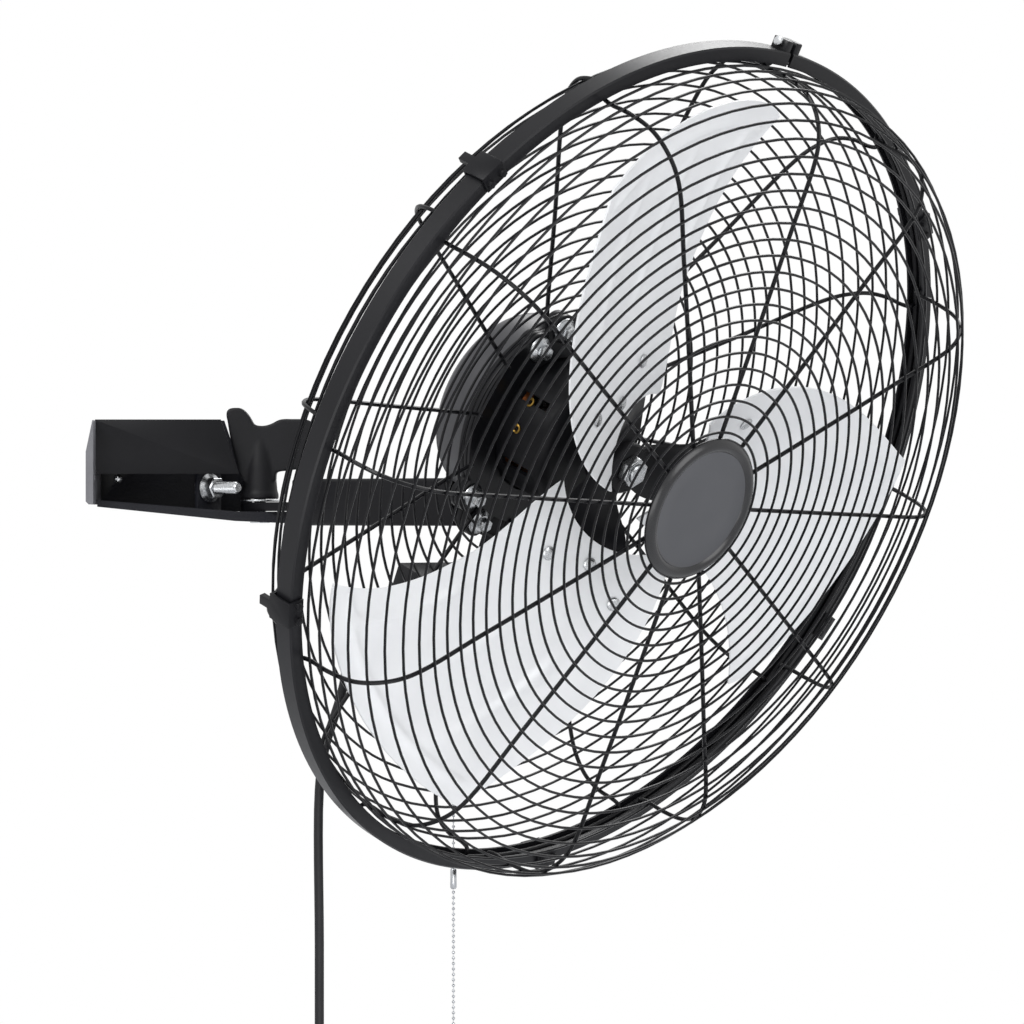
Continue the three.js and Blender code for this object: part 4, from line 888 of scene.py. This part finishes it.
def eyeletShape(aside, level):  # a small rolled rim seated on the bell's skin
    heading = Vector((0, aside, level)).normalized()
    ringPiece = turned([(0.1, 3.2), (0.9, 3.1), (1.2, 2.4), (0.9, 1.6), (0.2, 1.3), (0.1, 1.3)], 32, True)
    spin = Vector((1, 0, 0)).rotation_difference(heading).to_matrix().to_4x4()
    return moved(ringPiece, Matrix.Translation(Vector((-52, 0, 0)) + heading * motor["bell"]) @ spin)


piece("bell_eyelets", merge(eyeletShape(-38.5, 19.5), eyeletShape(-40, 2)), headSpace, "head",
      [brassEyelet])

yoke = {"earThick": 3, "earRadius": 10, "lug": 10, "gap": 0.3, "hingeX": -94, "hingeZ": -75, "tailSide": 15,
        "tailWidth": 15, "boxLeft": 60, "boxRight": 8, "boxTop": 110, "boxHeight": 34}


def earShape(side):  # a pressed ear: a rounded end round the tilt bolt, running into the plate
    near = side * (yoke["lug"] / 2 + yoke["gap"])
    far = near + side * yoke["earThick"]
    x, z, radius = yoke["hingeX"], yoke["hingeZ"], yoke["earRadius"]
    outline = [(x + radius * math.cos(a), z + radius * math.sin(a))
               for a in [math.pi * (0.36 + k / 24) for k in range(28)]]
    outline += [(x, z - radius), (motor["yokeBack"] + 0.4, z - radius + 1),
                (motor["yokeBack"] + 0.4, -68.6),
                (x + 12, -68.6)]
    points, faces = slab(outline, min(near, far), max(near, far))
    return [(a, depth, b) for a, b, depth in points], faces


def yokeShape():
    low, high = motor["yokeBack"], motor["yokeBack"] + motor["yokeThick"]
    tail = block(low, high, -yoke["tailSide"] - yoke["tailWidth"] / 2,
                 -yoke["tailSide"] + yoke["tailWidth"] / 2,
                 -yoke["boxTop"] - 4, -62)
    cover = block(low, high, -yoke["boxLeft"], yoke["boxRight"], -yoke["boxTop"] - yoke["boxHeight"],
                  -yoke["boxTop"])
    reach = yoke["lug"] / 2 + yoke["gap"] + yoke["earThick"]
    foot = block(low, high, -reach, reach, yoke["hingeZ"] - yoke["earRadius"], -62)
    return merge(lobedPlate(low, high, plates["bore"]), tail, cover, foot, earShape(-1), earShape(1))


piece("yoke_plate", yokeShape(), headSpace, "head", [powderCoat], ["yoke"], 0.5)

bolt = {"under": -65.5, "radius": 2.6, "dome": 8.5, "domeHeight": 4, "hex": 4.6, "hexHeight": 5}


def hexShape(radius, low, high, chamfer=0.6):  # a cold formed hex, its corners turned back at both faces
    points, rings = [], []
    for along, share in ((low, 0.93), (low + chamfer, 1), (high - chamfer, 1), (high, 0.93), (high, 0.9)):
        rings.append(list(range(len(points), len(points) + 6)))
        points += [(along, radius * share * math.sin(turn * k / 6), radius * share * math.cos(turn * k / 6))
                   for k in range(6)]
    return points, stitched(rings, False) + [rings[0][::-1], rings[-1]]


def threadOutline(low, high, radius, pitch, depth):
    count = int((high - low) / pitch)
    outline = [(low, 0), (low, radius - depth)]
    for k in range(count):
        along = low + k * pitch
        outline += [(along + pitch * 0.3, radius), (along + pitch * 0.45, radius),
                    (along + pitch * 0.85, radius - depth)]
    return outline + [(high, radius - depth), (high, 0)]


def domedBolt():
    under, top = bolt["under"], bolt["under"] + bolt["domeHeight"]
    dome = [(under, 0), (under, bolt["dome"]), (under + 0.7, bolt["dome"]),
            (under + 1.6, bolt["dome"] * 0.92),
            (under + 2.8, bolt["dome"] * 0.76), (top - 0.3, bolt["hex"] + 0.7), (top, bolt["hex"] + 0.3),
            (top, 0)]
    shank = [(motor["flangeBack"], 0), (motor["flangeBack"], bolt["radius"]), (under + 0.3, bolt["radius"]),
             (under + 0.3, 0)]
    crown = top + bolt["hexHeight"]
    return merge(turned(dome, 48), turned(shank, 24), hexShape(bolt["hex"], top - 0.2, crown - 0.5),
                 turned([(crown - 1, 0), (crown - 1, 3.4), (crown - 0.3, 3.2), (crown, 2.2), (crown, 0)],
                        24))


for i, (aside, level) in enumerate(boltSpots):
    node = "mount_bolt_" + str(i + 1)
    piece(node + "_domed", domedBolt(), headSpace @ Matrix.Translation((0, aside, level)), "head",
          [zincPlate], [node], crease=40)
softenedCopy("tilt_bolt", "head", zincPlate, 0.4, 45, 50)
softenedCopy("tilt_nut", "head", zincPlate, 0.4, 45, 50)
softenedCopy("switch_box", "head", mouldedNylon, 0.8, 45)
print("motor made")

# pull chain: balls joined by short links, with a connector and a bell shaped pull

chain = {"mouth": (-93, 0, -144), "length": 300, "inside": 5, "ball": 1.1, "pitch": 3.55, "link": 0.35}


def ballShape(level):
    outline = [(level + chain["ball"] * math.cos(math.pi * k / 8),
                chain["ball"] * math.sin(math.pi * k / 8))
               for k in range(9)]
    return turned([(x, max(0, radius) if 0 < k < 8 else 0) for k, (x, radius) in enumerate(outline)], 12)


def chainShape():
    shapes = [turned([(chain["inside"], 0), (chain["inside"], chain["link"]),
                      (-chain["length"], chain["link"]),
                      (-chain["length"], 0)], 8)]
    level = chain["inside"] - chain["ball"]
    while level > -chain["length"] + 2:
        shapes.append(ballShape(level))
        level -= chain["pitch"]
    shapes.append(turned([(-165, 0), (-165, 1.5), (-166, 2.1), (-177.5, 2.1), (-178.5, 1.5),
                          (-178.5, 0)], 20))
    start = -chain["length"] + 0.5
    drop = [(start, 0), (start, 1.4), (start - 1.5, 2.2), (start - 5, 2.8), (start - 10, 3.8),
            (start - 14, 4.4),
            (start - 15.4, 4.3), (start - 16, 3.6), (start - 16, 0)]
    return moved(merge(*shapes, turned(drop, 36)), Matrix.Rotation(-math.pi / 2, 4, "Y"))


chainTop = headSpace @ Vector(chain["mouth"])
piece("ball_chain", chainShape(), Matrix.Translation(chainTop), "pull", [chainNickel],
      ["pull_chain"],
      crease=60)
print("chain made")

# bracket, knob and arm

bracket = softenedCopy("wall_bracket", "bracket", powderCoat, 0.45, 35)
bracket.data.materials.append(texturedCoat)
bracket.data.materials.append(paintedSheenCoat)
for face in bracket.data.polygons:
    centre = bracket.matrix_world @ face.center
    if centre.z < -0.0078 and centre.x > 0.0055:
        face.material_index = 1
    # the wall plate's cut edges take the pale coat, a painted sheen where they face the light
    elif centre.x < 0.0052 and (face.normal.y < -0.3 or (face.normal.x > 0.5 and centre.z < -0.004)):
        face.material_index = 2
arm = softenedCopy("arm_tube", "arm", powderCoat, 0.5, 40)
softenedCopy("pivot_washer", "arm", zincPlate, 0.3, 40, 50)
softenedCopy("pivot_bolt", "bracket", zincPlate, 0.3, 45, 50)

screw = {"out": 16.6, "level": -10.7, "headBack": 19.2, "radius": 2.8, "height": 1.8, "shank": 1.6,
         "slot": 0.7}


def screwShape():
    base, top = 0, screw["height"]
    outline = [(-6.8, 0), (-6.8, screw["shank"]), (base, screw["shank"]), (base, screw["radius"]),
               (base + 0.8, screw["radius"]), (top - 0.7, screw["radius"] * 0.82),
               (top - 0.15, screw["radius"] * 0.5),
               (top, 0)]
    return turned(outline, 48)


screwSpace = Matrix.Translation((screw["out"], screw["headBack"], screw["level"])) @ Matrix.Rotation(
    -math.pi / 2, 4, "Z")
screwPiece = piece("cross_head_screw", screwShape(), screwSpace, "bracket", [zincPlate],
                   ["bracket_screw"])
across, slot = screw["radius"] * 0.6, screw["slot"] / 2
cutBy(screwPiece, block(screw["height"] / 2, 4, -across, across, -slot, slot), screwSpace)
cutBy(screwPiece, block(screw["height"] / 2, 4, -slot, slot, -across, across), screwSpace)
smoothed(screwPiece, 40)

sideBolt = {"out": 80, "aside": -7, "level": -16.8, "radius": 4, "length": 30, "tab": 2.5, "pitch": 1.25,
            "depth": 0.55, "flange": 9.8, "nut": 7.5, "nutHeight": 8}
sideSpace = Matrix.Translation((sideBolt["out"], sideBolt["aside"], sideBolt["level"])) @ Matrix.Rotation(
    math.radians(frames["panAngle"]), 4, "Z")
tip = sideBolt["length"] - sideBolt["tab"]
threaded = threadOutline(-sideBolt["tab"] - 1.3, tip - 1, sideBolt["radius"], sideBolt["pitch"],
                         sideBolt["depth"])
threaded = threaded[:-1] + [(tip, sideBolt["radius"] - 1.2), (tip, 0)]
headBack = -sideBolt["tab"] - 0.3
piece("threaded_side_bolt", merge(turned(threaded, 40), hexShape(sideBolt["nut"], headBack - 5,
                                                                 headBack)), sideSpace,
      "bracket", [zincPlate], ["side_bolt"], crease=30)


def flangeNut():
    reach = 0.3 + sideBolt["nutHeight"]
    flange = [(0.3, 4.4), (0.3, sideBolt["flange"]), (0.9, sideBolt["flange"]),
              (1.5, sideBolt["flange"] - 1.2),
              (2.6, sideBolt["nut"] - 0.4), (2.6, 4.4)]
    points, rings = [], []
    for along, radius in ((1.4, 7.5), (reach - 0.8, 7.5), (reach, 6.9), (reach, 4.4), (1.4, 4.4)):
        rings.append(list(range(len(points), len(points) + 48)))
        for k in range(48):
            angle = turn * k / 48
            flat = radius * math.cos(math.pi / 6) / math.cos((angle + math.pi / 6) % (math.pi / 3)
                                                             - math.pi / 6)
            reachHere = flat if radius > 5 else radius
            points.append((along, reachHere * math.sin(angle), reachHere * math.cos(angle)))
    return merge(turned(flange, 64, True), (points, stitched(rings, True)))


piece("flange_nut", flangeNut(), sideSpace, "bracket", [zincPlate], ["side_nut"], crease=25)

knob = {"bottom": -24.3, "height": 61.2, "thick": 15, "neck": 7.6, "foot": 12.6, "bore": 4.3,
        "boreDepth": 22,
        "left": 23.5, "right": 39, "grain": 0.9}


def knobOutline():  # a broad right wing, a short high left one and a valley between them
    top = knob["bottom"] + knob["height"]
    left, right = -knob["left"], knob["right"]
    curves = [
        [(-11, top - 50), (left * 0.8, top - 30), (left + 2, top - 9)],
        [(left + 2, top - 9), (left - 1, top), (left + 6, top)],
        [(left + 6, top), (-18, top), (-13, top)], [(-13, top), (-8, top - 2), (-4, top - 11)],
        [(-4, top - 11), (3, top - 14), (11, top - 9)], [(11, top - 9), (14, top - 7), (20, top - 7.5)],
        [(20, top - 7.5), (25, top - 7.5), (right - 9, top - 7.5)],
        [(right - 9, top - 7.5), (right, top - 9), (right, top - 17)],
        [(right, top - 17), (right - 2.5, top - 28), (right - 5, top - 39)],
        [(right - 5, top - 39), (right - 7, top - 42), (right - 12, top - 41)],
        [(right - 12, top - 41), (19, top - 42), (11, top - 43)],
        [(11, top - 43), (11, top - 46), (11, top - 50)],
    ]
    outline = []
    for a, b, c in curves:
        for k in range(8):
            t = k / 8
            outline.append(tuple(a[j] * (1 - t) ** 2 + 2 * b[j] * t * (1 - t) + c[j] * t * t
                                 for j in (0, 1)))
    return outline


def knobShape():
    half = knob["thick"] / 2
    points, faces = slab(knobOutline(), -half, half)
    wings = [(a, depth, b) for a, b, depth in points], faces
    low = knob["bottom"]
    body = turned([(low, 0), (low, knob["foot"]), (low + 3.4, knob["foot"]), (low + 5, knob["foot"] - 0.8),
                   (low + 22, 10.4), (low + 40, knob["neck"]), (low + 44, 5), (low + 46, 0)], 48)
    return merge(wings, moved(body, Matrix.Rotation(-math.pi / 2, 4, "Y")))


def mouldedKnob():  # joined as one skin, then its edges eased as a mould leaves them
    space = Matrix.Translation((frames["pivotOut"], 0, 0))
    item = piece("wing_knob_moulding", knobShape(), space, "knob", [mouldedNylon],
                 ["wing_knob"])
    skin = item.modifiers.new("skin", "REMESH")
    skin.mode = "VOXEL"
    skin.voxel_size = knob["grain"] * mm
    ease = item.modifiers.new("ease", "SMOOTH")
    ease.factor = 0.5
    ease.iterations = 10
    applied(item)
    bore = [(knob["bottom"] - 1, 0), (knob["bottom"] - 1, knob["bore"]),
            (knob["bottom"] + knob["boreDepth"], knob["bore"]), (knob["bottom"] + knob["boreDepth"], 0)]
    cutBy(item, moved(turned(bore, 32), Matrix.Rotation(-math.pi / 2, 4, "Y")), space)
    smoothed(item, 50)
    item.data.materials.clear()
    item.data.materials.append(mouldedNylon)
    return item


mouldedKnob()
print("bracket, knob and arm made")

# floor and light

stage = {"floor": -620, "size": 3200, "paper": "#e9e9ea"}


# seamless paper: pale and dull
def paperFinish():
    material = bpy.data.materials.new("seamlessPaper")
    material.use_nodes = True
    tree = material.node_tree
    shader = tree.nodes["Principled BSDF"]
    place = addNode(tree, "ShaderNodeTexCoord").outputs["Object"]
    fibre = addNode(tree, "ShaderNodeTexNoise", {"Scale": perMm(3), "Detail": 4}, {"Vector": place})
    tone = addNode(tree, "ShaderNodeMix", {"data_type": "RGBA"}, {0: fibre.outputs["Fac"]})
    tone.inputs[6].default_value = hexColour(stage["paper"])
    tone.inputs[7].default_value = hexColour("#f1f1f2")
    tree.links.new(tone.outputs[2], shader.inputs["Base Color"])
    shader.inputs["Roughness"].default_value = 0.9
    return material


half = stage["size"] / 2
floorMesh = bpy.data.meshes.new("floor")
floorMesh.from_pydata([Vector((x + 280, y - 150, stage["floor"])) * mm for x, y in
                       ((-half, -half), (half, -half), (half, half), (-half, half))], [], [(0, 1, 2, 3)])
floorMesh.materials.append(paperFinish())
floorPiece = bpy.data.objects.new("floor", floorMesh)
scene.collection.objects.link(floorPiece)

lights = {
    "key": {"at": (-900, -1700, 1500), "size": 1100, "power": 34},
    "fill": {"at": (1700, -1500, 500), "size": 1400, "power": 14},
    "rim": {"at": (900, 900, 1500), "size": 1200, "power": 22},
    "under": {"at": (200, -1200, -480), "size": 900, "power": 5},
}
for name, spec in lights.items():
    lamp = bpy.data.lights.new(name, "AREA")
    lamp.shape = "DISK"
    lamp.size = spec["size"] * mm
    lamp.energy = spec["power"]
    holder = bpy.data.objects.new(name, lamp)
    holder.location = Vector(spec["at"]) * mm
    aim = Vector((280, -150, 0)) * mm - holder.location
    holder.rotation_euler = aim.to_track_quat("-Z", "Y").to_euler()
    scene.collection.objects.link(holder)

world = bpy.data.worlds.new("studio")
scene.world = world
world.use_nodes = True
sky = world.node_tree
sky.nodes.clear()
rays = addNode(sky, "ShaderNodeLightPath")
seen = addNode(sky, "ShaderNodeMath", {"operation": "MAXIMUM"})
sky.links.new(rays.outputs["Is Camera Ray"], seen.inputs[0])
sky.links.new(rays.outputs["Is Glossy Ray"], seen.inputs[1])
shown = addNode(sky, "ShaderNodeMath", {"operation": "MAXIMUM"})
sky.links.new(seen.outputs[0], shown.inputs[0])
sky.links.new(rays.outputs["Is Transmission Ray"], shown.inputs[1])
ambient = addNode(sky, "ShaderNodeBackground", {"Color": (0.8, 0.82, 0.85, 1), "Strength": 0.6})
white = addNode(sky, "ShaderNodeBackground", {"Color": (1, 1, 1, 1), "Strength": 1})
both = addNode(sky, "ShaderNodeMixShader")
sky.links.new(shown.outputs[0], both.inputs[0])
sky.links.new(ambient.outputs[0], both.inputs[1])
sky.links.new(white.outputs[0], both.inputs[2])
ending = addNode(sky, "ShaderNodeOutputWorld")
sky.links.new(both.outputs[0], ending.inputs["Surface"])
scene.view_settings.view_transform = "Standard"
print("light and floor made")
